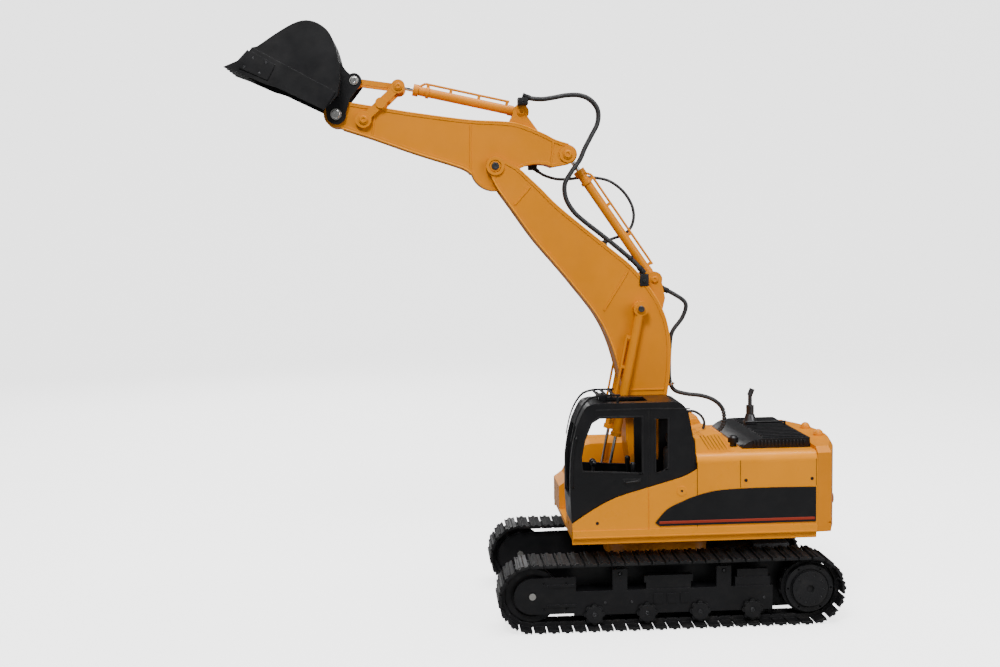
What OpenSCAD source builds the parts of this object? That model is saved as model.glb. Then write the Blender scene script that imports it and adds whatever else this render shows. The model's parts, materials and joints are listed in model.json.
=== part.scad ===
// Remote-control tracked excavator, about 1:14: undercarriage on two tracks, slewing house,
// boom, stick and bucket with model hydraulic cylinders and hoses.
// +X points to the front, +Y to the left (cab side), +Z up, and the ground is z = 0.
// Side-view points are [x, z] pairs measured from the slewing axis with the arm fully raised.

/* [Undercarriage] */
// Distance between the idler axle and the sprocket axle
wheelbase = 250; // [230:1:270]
// Height of both axles, which is also the outer radius of the track
axle_z = 31.5; // [30:0.5:33]
// Width of the track pads
track_w = 39.6; // [34:0.2:42]
// Distance of each track's middle plane from the machine's middle plane
track_y = 72; // [70:0.5:74]
// Number of track links on each side
links = 56; // [52:1:56]
// Number of bottom rollers on each side
rollers = 4; // [4:1:4]

/* [House] */
// Half of the width over the side shells
house_hw = 81; // [79:0.5:84]
// Height of the skirt's lower edge
skirt_z = 82; // [81:0.5:84]
// Height of the flat hood
hood_z = 155.5; // [150:0.5:160]
// Height of the cab roof
roof_z = 203; // [198:0.5:208]
// Radius of the tail around the slewing axis
tail_r = 165; // [160:1:170]

/* [Arm pivots, raised] */
// Boom foot pivot
foot = [12, 138]; // [10:1:160]
// Pivot between boom and stick
elbow = [148, 415.5]; // [140:0.5:420]
// Pivot between stick and bucket
wrist = [291.5, 464]; // [285:0.5:470]
// Pivot of the stick cylinder's rod at the rear end of the stick
stick_rear = [81, 425.5]; // [78:0.5:430]
// Base pivot of the stick cylinder on top of the boom
stick_cyl_base = [0, 308.5]; // [0:0.5:310]
// Base pivot of the bucket cylinder on top of the stick
bucket_cyl_base = [123, 465]; // [120:0.5:470]
// Foot pivot of the rocker on the stick
rocker_foot = [267, 459]; // [260:0.5:465]
// Upper pivot of the rocker, where rod and link meet
rocker_top = [235, 488.5]; // [230:0.5:492]
// Pivot of the link in the bucket ears
bucket_ear = [274.5, 494]; // [270:0.5:498]
// Pivot of the boom cylinder barrels on the boom
boom_cyl_top = [16, 282.5]; // [12:0.5:286]
// Pivot of the boom cylinder rods on the house
boom_cyl_foot = [50, 116]; // [46:0.5:120]

/* [Arm sections] */
// Half of the boom's width
boom_hw = 16.8; // [16.6:0.1:18]
// Half of the stick's width
stick_hw = 13; // [12:0.1:13]
// Wall thickness of the boom and stick shells
arm_wall = 2.2; // [1.8:0.1:2.6]
// Half of the bucket's width
bucket_hw = 37; // [34:0.5:40]
// Outer radius of the cylinder barrels
barrel_r = 4.2; // [4:0.1:4.6]

/* [Hidden] */
$fn = 48;
yellow = "goldenrod";
black = [0.08, 0.08, 0.09];
dark = [0.16, 0.16, 0.17];
steel = [0.72, 0.72, 0.7];
fit = 0.05;             // radial clearance of a running fit
gap = 0.4;              // clearance between pieces that move past each other
tip_x = 387.7;          // bucket tooth tips, the foremost points
mid_x = (tip_x - tail_r) / 2;

// ---- helpers -------------------------------------------------------------------------

// everything is drawn from the slewing axis, and the part's origin is the middle of its box
module placed() { translate([-mid_x, 0, 0]) children(); }
// side 1 is the left, side -1 the right
module on_side(side) { mirror([0, side < 0 ? 1 : 0, 0]) children(); }
module both_sides() { children(); mirror([0, 1, 0]) children(); }
// a side-view outline made into a plate from y to y + t
module plate(points, y, t) { translate([0, y + t, 0]) rotate([90, 0, 0]) linear_extrude(t) polygon(points); }
module slab(lo, hi) { translate(lo) cube(hi - lo); }
// a round bar along Y at side-view point p
module bar_y(p, r, y0, y1) { translate([p[0], y0, p[1]]) rotate([-90, 0, 0]) cylinder(h = y1 - y0, r = r); }
module bar_x(r, x0, x1) { translate([x0, 0, 0]) rotate([0, 90, 0]) cylinder(h = x1 - x0, r = r); }
// local +X runs from side-view point p towards q
module along(p, q, y = 0) {
    translate([p[0], y, p[1]]) rotate([0, -atan2(q[1] - p[1], q[0] - p[0]), 0]) children();
}
function arc(c, r, a0, a1, n = 8) =
    [for (i = [0:n]) let (a = a0 + (a1 - a0) * i / n) [c[0] + r * cos(a), c[1] + r * sin(a)]];
function blend4(a, b, c, d, t) =
    0.5 * ((2 * b) + (c - a) * t + (2 * a - 5 * b + 4 * c - d) * t * t + (3 * b - a - 3 * c + d) * t * t * t);
// a smooth curve through the points, n steps between neighbours
function curve(p, n = 4) = let (m = len(p) - 1) concat(
    [for (i = [0:m - 1]) for (k = [0:n - 1])
        blend4(p[max(i - 1, 0)], p[i], p[i + 1], p[min(i + 2, m)], k / n)], [p[m]]);
function cross2(a, b) = a[0] * b[1] - a[1] * b[0];
function unit(v) = v / norm(v);
function left_of(v) = [-v[1], v[0]];
// the outline moved inwards by d; it runs anticlockwise
function inset(p, d) = [for (i = [0:len(p) - 1]) let (
    n = len(p), u = unit(p[i] - p[(i + n - 1) % n]), v = unit(p[(i + 1) % n] - p[i]),
    w = left_of(u) + left_of(v)) p[i] + d * 2 * w / max(w * w, 1)];
// a hose: one closed tube swept along its route
module hose(route, r, sides = 8) {
    n = len(route);
    ring = [for (i = [0:n - 1]) let (
        t = unit(route[min(i + 1, n - 1)] - route[max(i - 1, 0)]),
        s = unit(cross(t, abs(t[1]) > 0.8 ? [1, 0, 0] : [0, 1, 0])), b = cross(t, s))
        for (k = [0:sides - 1]) let (a = 360 * k / sides) route[i] + r * (cos(a) * s + sin(a) * b)];
    faces = concat(
        [[for (k = [sides - 1:-1:0]) k]],
        [for (i = [0:n - 2]) for (k = [0:sides - 1])
            let (m = (k + 1) % sides) [i * sides + k, i * sides + m, (i + 1) * sides + m, (i + 1) * sides + k]],
        [[for (k = [0:sides - 1]) (n - 1) * sides + k]]);
    polyhedron(ring, faces);
}

// ---- undercarriage -------------------------------------------------------------------

idler_at = [wheelbase / 2, axle_z];
sprocket_at = [-wheelbase / 2, axle_z];
pitch_r = axle_z - 4;                     // radius of the line through the link joints
turn_len = PI * pitch_r;
pitch = (2 * wheelbase + 2 * turn_len) / links;
rail_r = axle_z - 7;                      // inner face of the link rails
rail_in = 5;                              // rails lie between these distances from the track's middle
rail_out = 8;
beam_lo = 13;
beam_hi = 35;
beam_in = track_y - 12;                   // inner and outer faces of the track frame
beam_out = track_y + 10.6;
roller_z = 14;
roller_x = [70, 22.5, -25.5, -73];
axle_r = 3;
motor_y = 28;

// the link at distance s along the track: local +Z points outwards
module on_track(s) {
    x = s < wheelbase ? s - wheelbase / 2
        : s < wheelbase + turn_len ? wheelbase / 2
        : s < 2 * wheelbase + turn_len ? wheelbase * 1.5 + turn_len - s : -wheelbase / 2;
    turn = s < wheelbase ? 0
        : s < wheelbase + turn_len ? 180 * (s - wheelbase) / turn_len
        : s < 2 * wheelbase + turn_len ? 180 : 180 * (s - 2 * wheelbase) / turn_len;
    translate([x, track_y, axle_z]) rotate([0, turn, 0]) children();
}
module track_link() {
    pad_z = axle_z - 3.3;
    difference() {
        union() {
            slab([-5.2, -track_w / 2, pad_z], [5.2, track_w / 2, axle_z - 1.2]);
            plate([[-2, axle_z - 1.4], [2, axle_z - 1.4], [1.2, axle_z], [-1.2, axle_z]],
                -track_w / 2, track_w);
            plate([[3.5, axle_z - 1.4], [5.2, axle_z - 1.4], [5.2, axle_z - 0.5], [4.1, axle_z - 0.5]],
                -track_w / 2, track_w);
        }
        for (e = [-1, 1]) translate([0, e * (track_w / 2 - 4), 0])
            slab([2.2, -1.6, pad_z - 1], [3.4, 1.6, axle_z]);
    }
    for (e = [-1, 1]) mirror([0, e < 0 ? 1 : 0, 0])
        plate([[-5.3, rail_r], [5.3, rail_r], [6, pad_z + 0.1], [-6, pad_z + 0.1]],
            rail_in, rail_out - rail_in);
}
module track(side) {
    color(dark) placed() on_side(side) for (i = [0:links - 1]) {
        on_track((i + 0.5) * pitch) track_link();
        // the pin that joins this link to the next
        on_track((i + 1) * pitch) bar_y([0, rail_r + 2.2], 1.4, -rail_out - 0.6, rail_out + 0.6, $fn = 16);
    }
}
module wheel_teeth(n, root_r, tip_r, y0, t) {
    for (i = [0:n - 1]) translate([0, y0 + t, 0]) rotate([90, 360 * i / n, 0]) linear_extrude(t)
        polygon([[-2.6, root_r - 1], [2.6, root_r - 1], [1.1, tip_r], [-1.1, tip_r]]);
}
module sprocket(side) {
    color(dark) placed() on_side(side) translate([sprocket_at[0], 0, sprocket_at[1]]) {
        wheel_teeth(14, rail_r - gap, pitch_r - 2.5, track_y - 3, 6);
        difference() {
            union() {
                bar_y([0, 0], rail_r - gap, track_y - 6, track_y + 6);
                bar_y([0, 0], 19, track_y + 6, track_y + 8.2);
                bar_y([0, 0], 21.6, track_y + 8.2, track_y + 12.5);
                bar_y([0, 0], 16, track_y + 12.5, track_y + 15.6);
                bar_y([0, 0], axle_r, beam_in - 12, track_y - 6);
            }
            bar_y([0, 0], 3.6, track_y + 13.6, track_y + 16);
            bar_y([0, 0], 17.6, track_y + 11.4, track_y + 12.5);
            for (a = [0:36:324]) rotate([0, a, 0]) bar_y([12.6, 0], 1.1, track_y + 14, track_y + 16);
            for (a = [0:60:300]) rotate([0, a, 0]) bar_y([19.6, 0], 1, track_y + 11, track_y + 13);
        }
        bar_y([0, 0], 16, track_y + 11.4, track_y + 12.5);
    }
}
module idler(side) {
    color(dark) placed() on_side(side) difference() {
        union() {
            bar_y(idler_at, rail_r - gap, track_y - 6, track_y + 6);
            bar_y(idler_at, pitch_r - 2.6, track_y - 3, track_y + 3);
            bar_y(idler_at, 7, track_y - 8, track_y + 7.4);
        }
        for (f = [track_y - 7, track_y + 3.4]) difference() {
            bar_y(idler_at, 19, f, f + 3.6);
            bar_y(idler_at, 7, f - 1, f + 5);
        }
        bar_y(idler_at, axle_r + fit, track_y - 9, track_y + 9);
    }
}
// a bottom roller: tread between the frame's plates and a lobed cap outside it
module roller(side, i) {
    color(dark) placed() on_side(side) translate([roller_x[i], 0, roller_z]) difference() {
        union() {
            for (e = [-1, 1]) bar_y([0, 0], 6.7, track_y + e * 6.2 - 1.8, track_y + e * 6.2 + 1.8);
            bar_y([0, 0], 4.6, track_y - 6, track_y + 6);
            bar_y([0, 0], axle_r, track_y + 6, beam_out + 1);
            bar_y([0, 0], 7.6, beam_out + gap, beam_out + 3.6);
            for (a = [0:45:315]) rotate([0, a, 0]) bar_y([7.2, 0], 2.3, beam_out + gap, beam_out + 2.6);
        }
        bar_y([0, 0], 2 + fit, track_y - 9, track_y + 4);
        bar_y([0, 0], 2.4, beam_out + 2, beam_out + 5);
    }
}
module wheel_axles() {
    color(steel) placed() both_sides() {
        bar_y(idler_at, axle_r, beam_in, beam_out + 0.8);
        for (x = roller_x) bar_y([x, roller_z], 2, beam_in, track_y + 3.6);
    }
}
module track_frame(side) {
    beam = [[-92, beam_lo], [88, beam_lo], [88, beam_hi], [-92, beam_hi]];
    cover = concat([[86, axle_z - 16.5]], arc(idler_at, 16.5, -90, 90, 16), [[86, axle_z + 16.5]]);
    inner = concat([[60, 9]], arc(idler_at, 22, -84, 84, 12), [[60, 54.5], [-60, 54.5]],
        arc(sprocket_at, 22, 96, 264, 12), [[-60, 9]]);
    color(black) placed() on_side(side) difference() {
        union() {
            plate(inner, beam_in, 2.6);
            plate(beam, beam_out - 2.6, 2.6);
            plate(cover, beam_out - 2, 2);
            slab([-92, beam_in, beam_hi - 2.5], [88, beam_out, beam_hi]);
            // two ribs on the idler cover and the bars along the beam
            for (z = [-9, 9]) slab([86, beam_out - 0.1, axle_z + z - 1.2], [112, beam_out + 0.9, axle_z + z + 1.2]);
            for (x = [-16, -4, 8]) slab([x, beam_out - 0.1, 22], [x + 8, beam_out + 1, 31]);
            // carrier posts with their rollers, bracket block and guard bars on the beam
            for (x = [46.5, -47.5]) {
                slab([x - 6.7, beam_out - 4, beam_hi - 1], [x + 6.7, beam_out, 54]);
                bar_y([x, 50], 5.4, track_y + 5, beam_out - 3);
            }
            slab([-17.7, beam_out - 6, beam_hi - 1], [22.7, beam_out - 1, 41]);
            slab([-19.5, beam_out - 8, 40.9], [24.5, beam_out - 1, 47]);
            slab([-90, beam_out - 6, beam_hi - 1], [-58, beam_out - 1, 43]);
            slab([-88, beam_out - 7, 42.9], [-60, beam_out - 2, 50]);
        }
        bar_y(idler_at, axle_r, beam_in - 1, beam_out + 1);
        bar_y(sprocket_at, axle_r + fit, beam_in - 1, beam_in + 4);
        for (x = roller_x) bar_y([x, roller_z], 2, beam_in - 1, beam_in + 4);
        for (x = roller_x) bar_y([x, roller_z], axle_r + fit, beam_out - 4, beam_out + 1);
        for (x = [46.5, -47.5]) bar_y([x, 50], 2, beam_out - 1.4, beam_out + 1);
        for (x = [95, 115]) for (z = [-11.5, 11.5]) if (x < 100 || abs(z) < 12)
            bar_y([x, axle_z + z], 1.3, beam_out - 1.2, beam_out + 1);
        // rollers stand in slots of the cap plate's lower edge
        slab([-93, track_y - 9, beam_lo - 1], [89, beam_out - 2.6, beam_hi - 2.5]);
    }
}
module undercarriage_frame() {
    color(black) placed() difference() {
        union() {
            slab([-62, -beam_in, 22], [62, beam_in, 40]);
            translate([0, 0, 39]) cylinder(h = 7, r = 42, $fn = 96);
            translate([0, 0, 45.9]) cylinder(h = 4.7, r = 30);
            translate([0, 0, 50.5]) cylinder(h = 4.2, r = 20);
            both_sides() slab([-58, beam_in - 8, 39.9], [58, beam_in, 46]);
        }
        translate([0, 0, 20]) cylinder(h = 40, r = 7);
        slab([-58, -beam_in + 12, 21], [58, -24, 37]);
        slab([-58, 24, 21], [58, beam_in - 12, 37]);
        slab([-58, -20, 21], [-24, 20, 37]);
        slab([24, -20, 21], [58, 20, 37]);
    }
}
module travel_motors() {
    color(dark) placed() both_sides() {
        difference() {
            slab([-140, motor_y, 20], [-104, beam_in, 43]);
            bar_y(sprocket_at, axle_r + fit, beam_in - 13, beam_in + 1);
        }
        translate([-104, beam_in - 16, axle_z]) bar_x(9.5, 0, 34);
    }
}

// ---- slewing gear --------------------------------------------------------------------

gear_m = 1.5;
ring_teeth = 30;
pinion_teeth = 10;
ring_z = 55;
gear_h = 9;
gear_axis = -gear_m * (ring_teeth + pinion_teeth) / 2;
backlash = 0.35;
// one involute flank point at radius r for base radius b
function involute_deg(r, b) = r <= b ? 0 : let (t = sqrt(r * r / (b * b) - 1)) t * 180 / PI - atan(t);
function flank(n, m, side) = let (p = n * m / 2, b = p * cos(20), tip = p + 0.9 * m, root = p - 1.2 * m,
    half = 90 / n - (backlash / 4) / p * 180 / PI) [for (k = [0:5]) let (
        r = root + (tip - root) * k / 5,
        a = half + involute_deg(p, b) - involute_deg(r, b)) [r * cos(side * a), r * sin(side * a)]];
module gear(n, m, h, bore) {
    root = n * m / 2 - 1.2 * m;
    difference() {
        union() {
            cylinder(h = h, r = root + 0.05);
            for (i = [0:n - 1]) rotate([0, 0, 360 * i / n]) linear_extrude(h)
                polygon(concat([[root - 1, -0.6]], flank(n, m, -1),
                    [for (k = [5:-1:0]) flank(n, m, 1)[k]], [[root - 1, 0.6]]));
        }
        translate([0, 0, -1]) cylinder(h = h + 2, r = bore);
    }
}
module slew_ring() {
    color(steel) placed() translate([0, 0, ring_z]) gear(ring_teeth, gear_m, gear_h, 7);
}
module slew_pinion() {
    color(steel) placed() translate([gear_axis, 0, ring_z + 1.5]) {
        rotate([0, 0, 180 / pinion_teeth]) gear(pinion_teeth, gear_m, gear_h - 3, 1);
        cylinder(h = 28, r = 2.4);
    }
}
module slew_motor() {
    color(steel) placed() translate([gear_axis, 0, 84]) difference() {
        union() {
            slab([-14, -12, 0], [12, 12, 12]);
            translate([0, 0, 11.9]) cylinder(h = 26, r = 10);
            translate([0, 0, 37.8]) cylinder(h = 3, r = 3);
        }
        translate([0, 0, -1]) cylinder(h = 3, r = 2.4 + fit);
    }
}

// ---- house ---------------------------------------------------------------------------

deck_lo = 80;
deck_hi = 84;
tail_x = -133;                            // front face of the counterweight
cab_in = 31;                              // inner and outer faces of the cab
cab_out = house_hw - 2.3;
shoulder_z = hood_z - 8;                  // where the side walls begin to turn into the hood
belt = curve([[-23.3, 141.7], [-14.6, 136.8], [-3.1, 133], [19.9, 126.7], [48.6, 118.4],
    [69.2, 108.1], [88.3, 95.8]], 3);
cheek_y = boom_hw + 1;                    // inner faces of the boom bracket
cheek_t = 2.8;
cyl_y = 22.5;                             // middle planes of the boom cylinders
screw_x = [-128, -88];

module turntable() {
    color(yellow) placed() difference() {
        union() {
            slab([tail_x, -house_hw + 2.3, deck_lo], [88.3, house_hw - 2.3, deck_hi]);
            difference() {
                translate([0, 0, 51]) cylinder(h = 29.5, r = 49, $fn = 96);
                translate([0, 0, 54]) cylinder(h = 26.1, r = 45.5, $fn = 96);
                translate([0, 0, 50]) cylinder(h = 5, r = 20 + fit);
            }
            // skirt under the deck
            for (y = [-house_hw + 2.3, house_hw - 4.3])
                slab([tail_x, y, 76.5], [88.3, y + 2, deck_lo + 0.1]);
        }
        translate([gear_axis, 0, 70]) cylinder(h = 20, r = 2.4 + fit);
        translate([0, 0, 70]) cylinder(h = 20, r = 7);
        // battery opening and the switch slot
        slab([-118, -20, 70], [-70, 20, 90]);
        slab([-62, 36, 70], [-57, 46, 90]);
        for (x = screw_x) for (y = [-25, 25]) translate([x + 5, y, 70]) cylinder(h = 20, r = 1.2);
    }
}
module boom_bracket() {
    cheek = concat([[-14, deck_hi], [66, deck_hi]], arc(boom_cyl_foot, 8, -20, 110, 8),
        [[36, 121], [28, 127]], arc(foot, 14, -25, 170, 12), [[-12, 110]]);
    color(yellow) placed() {
        both_sides() difference() {
            plate(cheek, cheek_y, cheek_t);
            bar_y(foot, axle_r, cheek_y - 1, cheek_y + 4);
            bar_y(boom_cyl_foot, 2.2, cheek_y - 1, cheek_y + 4);
        }
        slab([-13, -cheek_y, deck_hi], [64, cheek_y, deck_hi + 3]);
        slab([60, -cheek_y, deck_hi + 2.9], [63, cheek_y, deck_hi + 14]);
    }
}
// grooves between the shell's panels
module seams(xs, z0, z1) {
    for (x = xs) slab([x - 0.35, house_hw - 0.5, z0], [x + 0.35, house_hw + 1, z1]);
}
module shell_left() {
    wall = concat([[tail_x, skirt_z], [88.3, skirt_z]], [for (k = [len(belt) - 1:-1:0]) belt[k]],
        [[-24, 142], [-24, shoulder_z], [tail_x, shoulder_z]]);
    color(yellow) placed() difference() {
        union() {
            plate(wall, house_hw - 2, 2);
            slab([tail_x, house_hw - 0.1, skirt_z], [88.3, house_hw + 0.7, skirt_z + 7.5]);
            slab([85.9, cab_in, deck_hi], [88.3, house_hw - 1.9, 95.4]);
            // rim along the curved upper edge
            bar_y([-10, 123], 4.4, house_hw - 0.1, house_hw + 0.5);
        }
        seams([19.9], 89, 127);
        seams([-24], 118, 143);
        seams([-63], 124.7, 150);
        bar_y([-10, 123], 1.2, house_hw - 0.6, house_hw + 1);
    }
}
module shell_right() {
    box = [[-24, deck_hi + 0.2], [88.3, deck_hi + 0.2], [88.3, 106], [80, 112], [62, 146],
        [56, shoulder_z], [-24, shoulder_z]];
    hollow = concat([[-24 + 2, deck_hi - 1], [86.3, deck_hi - 1]], [for (k = [2:6]) inset(box, 2)[k]]);
    color(yellow) placed() on_side(-1) difference() {
        union() {
            plate([[tail_x, skirt_z], [88.3, skirt_z], [88.3, 106], [80, 112], [62, 146],
                [56, shoulder_z], [tail_x, shoulder_z]], house_hw - 2, 2);
            plate(box, cab_in, house_hw - 1.9 - cab_in);
            slab([tail_x, house_hw - 0.1, skirt_z], [88.3, house_hw + 0.7, skirt_z + 7.5]);
        }
        plate(hollow, cab_in + 2, house_hw - cab_in - 4.2);
        slab([-30, cab_in - 1, deck_hi - 3], [90, house_hw - 2.2, deck_hi + 0.2]);
        seams([19.9, -24], 89, 143);
        seams([-63], 124.7, 150);
    }
}
module side_panels() {
    sweep = curve([[14, 95], [3.2, 107], [-12.4, 114.5], [-23, 118.4], [-40, 122.4], [-63, 123.8],
        [-96, 124], [-131.5, 123.5]], 3);
    color(black) placed() both_sides()
        plate(concat([[-131.5, 92], [10, 92]], sweep), house_hw, 1);
}
// the hood's cross-section in y and z, d inside its outer skin
function hood_section(d) = let (w = house_hw - d, z = hood_z - d) concat(
    [[w, 140]], arc([w - 8 + d, z - 8 + d], 8 - d, 0, 80, 8), [[w - 10 + d, 174 - d], [-w + 10 - d, 174 - d]],
    arc([-w + 8 - d, z - 8 + d], 8 - d, 100, 180, 8), [[-w, 140]]);
module section_x(points, x0, x1) {
    translate([x0, 0, 0]) rotate([90, 0, 90]) linear_extrude(x1 - x0) polygon(points);
}
module hood() {
    top = [[tail_x, shoulder_z], [-24, shoulder_z], [-24, 168], [-41, 172.3], [-46, 171.6], [-54, 158.6],
        [-60, hood_z], [tail_x, hood_z]];
    inside = [[tail_x - 1, 140], [-26, 140], [-26, 166.4], [-41, 170.1], [-45, 169.6], [-52.5, 157.3],
        [-59, hood_z - 2], [tail_x - 1, hood_z - 2]];
    color(yellow) placed() {
        difference() {
            intersection() {
                plate(top, -house_hw, 2 * house_hw);
                section_x(hood_section(0), tail_x, -24);
            }
            intersection() {
                plate(inside, -house_hw, 2 * house_hw);
                section_x(hood_section(2), tail_x - 1, -26);
            }
            for (i = [0:7]) both_sides() slab([-33, 34 + 4.6 * i, 165], [-29, 36.2 + 4.6 * i, 176]);
            // open duct behind the boom for its hose
            slab([-64, -14, hood_z], [-23, 14, 180]);
        }
        both_sides() plate([[-24.5, hood_z - 1.6], [-24.5, 167.6], [-41, 171.8], [-45.7, 171.1], [-53.6, 158.4],
            [-55, hood_z - 1.6]], 14, 2);
        slab([-61, -15, hood_z - 1.8], [-24.4, 15, hood_z - 0.2]);
        slab([-38, -4, hood_z - 0.5], [-33, 4, 164]);
        // raised louvres on the slope behind the cab
        for (i = [0:6]) both_sides()
            plate([[-45.6, 170.6], [-53, 159], [-55.8, 160], [-48.2, 172.2]], 32 + 6 * i, 3.4);
    }
}
module counterweight() {
    tail_a = asin(68 / tail_r);
    plan = concat([[tail_x - 0.1, -house_hw], [tail_x - 0.1, house_hw], [-146, house_hw - 1.2]],
        arc([0, 0], tail_r, 180 - tail_a, 180 + tail_a, 20), [[-146, -house_hw + 1.2]]);
    color(yellow) placed() difference() {
        union() {
            translate([0, 0, skirt_z]) linear_extrude(hood_z - 1.5 - skirt_z) polygon(plan);
            // sloping upper edge
            translate([tail_x - 0.1, 0, hood_z - 1.5]) linear_extrude(5, scale = 0.92)
                translate([0.1 - tail_x, 0, 0]) polygon(plan);
            for (y = [-20, 20]) translate([-153, y, hood_z + 3.4]) {
                cylinder(h = 2, r = 5);
                translate([0, 0, 1.6]) sphere(r = 4.5);
            }
        }
        translate([0, 0, skirt_z + 3]) linear_extrude(hood_z - 3 - skirt_z) polygon(
            concat([[tail_x - 6, -house_hw + 5], [tail_x - 6, house_hw - 5]],
                arc([0, 0], tail_r - 5, 180 - tail_a, 180 + tail_a, 12)));
        // groove round the tail above the skirt
        translate([0, 0, skirt_z + 7.5]) difference() {
            cylinder(h = 1.2, r = tail_r + 9);
            translate([0, 0, -1]) cylinder(h = 4, r = tail_r - 0.8, $fn = 120);
        }
    }
}
module engine_cover() {
    cover = concat([[-137, hood_z], [-70, hood_z]], curve([[-70, 157], [-74, 160], [-80, 163], [-88, 164.4]], 3),
        [[-134, 164.4], [-137, 162]]);
    color(black) placed() difference() {
        union() {
            plate([for (p = cover) [max(p[0], tail_x + 0.5), p[1]]], -60, 120);
            for (i = [0:14]) slab([-130, -54.7 + 7.6 * i, 164.3], [-90, -51.7 + 7.6 * i, 165.4]);
        }
        plate([[-140, hood_z - 1], [-73.5, hood_z - 1], [-74, 157.4], [-77, 159.5], [-82, 161.4], [-88.5, 162.4],
            [-140, 162.4]], -58, 116);
    }
}
module handrail(x0, x1, y, z0, z1) {
    for (x = [x0, x1]) translate([x, y, z0]) cylinder(h = z1 - z0, r = 0.9, $fn = 16);
    translate([0, y, z1]) bar_x(0.9, x0 - 0.9, x1 + 0.9, $fn = 16);
}
module hood_rails() {
    color(black) placed() handrail(-129, -91, -7.6, 165.4, 168.4);
}
module exhaust() {
    color(dark) placed() translate([-98, -19, 165.4]) difference() {
        union() {
            cylinder(h = 3, r = 6.5);
            translate([0, 0, 2.9]) cylinder(h = 6, r1 = 6, r2 = 4.4);
            translate([0, 0, 8.8]) cylinder(h = 9, r = 3.8);
            translate([0, 0, 17.7]) cylinder(h = 11, r = 2);
            translate([0.4, 0, 27.4]) rotate([0, -22, 0]) cylinder(h = 7, r = 2.6);
        }
        translate([0.4, 0, 27.4]) rotate([0, -22, 0]) translate([0, 0, 3]) cylinder(h = 5, r = 1.7);
    }
}
module pre_cleaner() {
    color(black) placed() translate([-65, 46, hood_z]) {
        cylinder(h = 4, r = 3);
        translate([0, 0, 3.9]) cylinder(h = 4.5, r = 4.8);
        translate([0, 0, 8.3]) cylinder(h = 1.6, r1 = 4.8, r2 = 3);
    }
}

// ---- cab -----------------------------------------------------------------------------

cab_side = concat([[-21.9, deck_hi], [85.7, deck_hi], [85.7, 95.6]],
    curve([[88.4, 95.8], [89.4, 112], [89.8, 129], [89, 152], [86.4, 170], [82.5, 185]], 3),
    curve([[79, 192.5], [74, roof_z - 2.4], [66, roof_z]], 3),
    curve([[-4, roof_z], [-11, roof_z - 2], [-16.5, 194.5]], 3), [[-22, 165], [-23.4, 145], [-23.4, 141.9]]);
side_window = concat([[24.6, 139], [78.6, 142.4]], curve([[80, 155], [77, 170], [70.5, 186], [63, 190.6]], 3),
    [[24.6, 190.6]]);
rear_window = [[1.8, 143], [13.2, 139], [13.2, 188.6], [1.2, 188.6]];
module cab() {
    inner = inset(cab_side, 2.4);
    color(black) placed() difference() {
        union() {
            plate(cab_side, cab_in, cab_out - cab_in);
        }
        plate(inner, cab_in + 2.4, cab_out - cab_in - 4.8);
        plate(side_window, cab_in - 1, cab_out - cab_in + 2);
        plate(rear_window, cab_in - 1, cab_out - cab_in + 2);
        // windscreen and rear pane
        slab([80, cab_in + 5, 118], [100, cab_out - 5, 182]);
        slab([-30, cab_in + 7, 150], [-15, cab_out - 7, 186]);
        slab([18, cab_in + 10, roof_z - 5], [58, cab_out - 10, roof_z + 2]);
        // door gap on the outer side
        slab([18.5, cab_out - 0.5, 130], [19.1, cab_out + 1, 197]);
    }
}
module cab_seat() {
    y0 = cab_in + 12;
    color(dark) placed() {
        slab([0, y0 + 2, deck_hi + 2.6], [26, y0 + 22, 112]);
        slab([-2, y0, 111.9], [30, y0 + 24, 120]);
        plate([[-4, 119.9], [6, 119.9], [0, 158], [-8, 158]], y0, 24);
        plate([[-8, 160.5], [-1, 160.5], [-2, 172], [-8, 172]], y0 + 6, 12);
        for (y = [y0 + 9, y0 + 13]) slab([-6, y, 157.9], [-3.5, y + 2, 160.6]);
        for (y = [y0 - 6, y0 + 25]) slab([2, y, deck_hi + 2.6], [36, y + 5, 124]);
    }
}
module cab_levers() {
    color(black) placed() {
        for (y = [cab_in + 8.5, cab_in + 39.5]) {
            translate([32, y, 124]) cylinder(h = 15, r = 1.1, $fn = 16);
            translate([32, y, 138]) cylinder(h = 8, r1 = 1.8, r2 = 2.6, $fn = 24);
            translate([32, y, 146]) sphere(r = 2.6, $fn = 24);
        }
        for (y = [cab_in + 20, cab_in + 28]) {
            translate([66, y, deck_hi + 2.6]) cylinder(h = 62, r = 1.1, $fn = 16);
            translate([66, y, deck_hi + 62]) sphere(r = 3, $fn = 24);
            slab([60, y - 3, deck_hi + 2.6], [74, y + 3, deck_hi + 6]);
        }
    }
}
module roof_guard() {
    rail = concat(curve([[88.3, 170], [84.8, 186], [80, 198], [72.5, 207.5], [62, 210.5]], 3), [[44, 210.5]]);
    color(black) placed() {
        for (y = [cab_in + 3, cab_out - 5]) {
            plate(concat(rail, [for (k = [len(rail) - 1:-1:0]) rail[k] + [-0.5 - 0.6 * k / len(rail), -1.5]]), y, 2);
            slab([45, y, roof_z], [47, y + 2, 210]);
        }
        for (x = [48, 55, 62]) slab([x, cab_in + 4.9, 208.9], [x + 2, cab_out - 4.9, 210.4]);
        for (y = [cab_in + 14, cab_out - 18]) slab([54, y, roof_z], [61, y + 6, roof_z + 5]);
    }
}

// ---- things inside the house ----------------------------------------------------------

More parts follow.
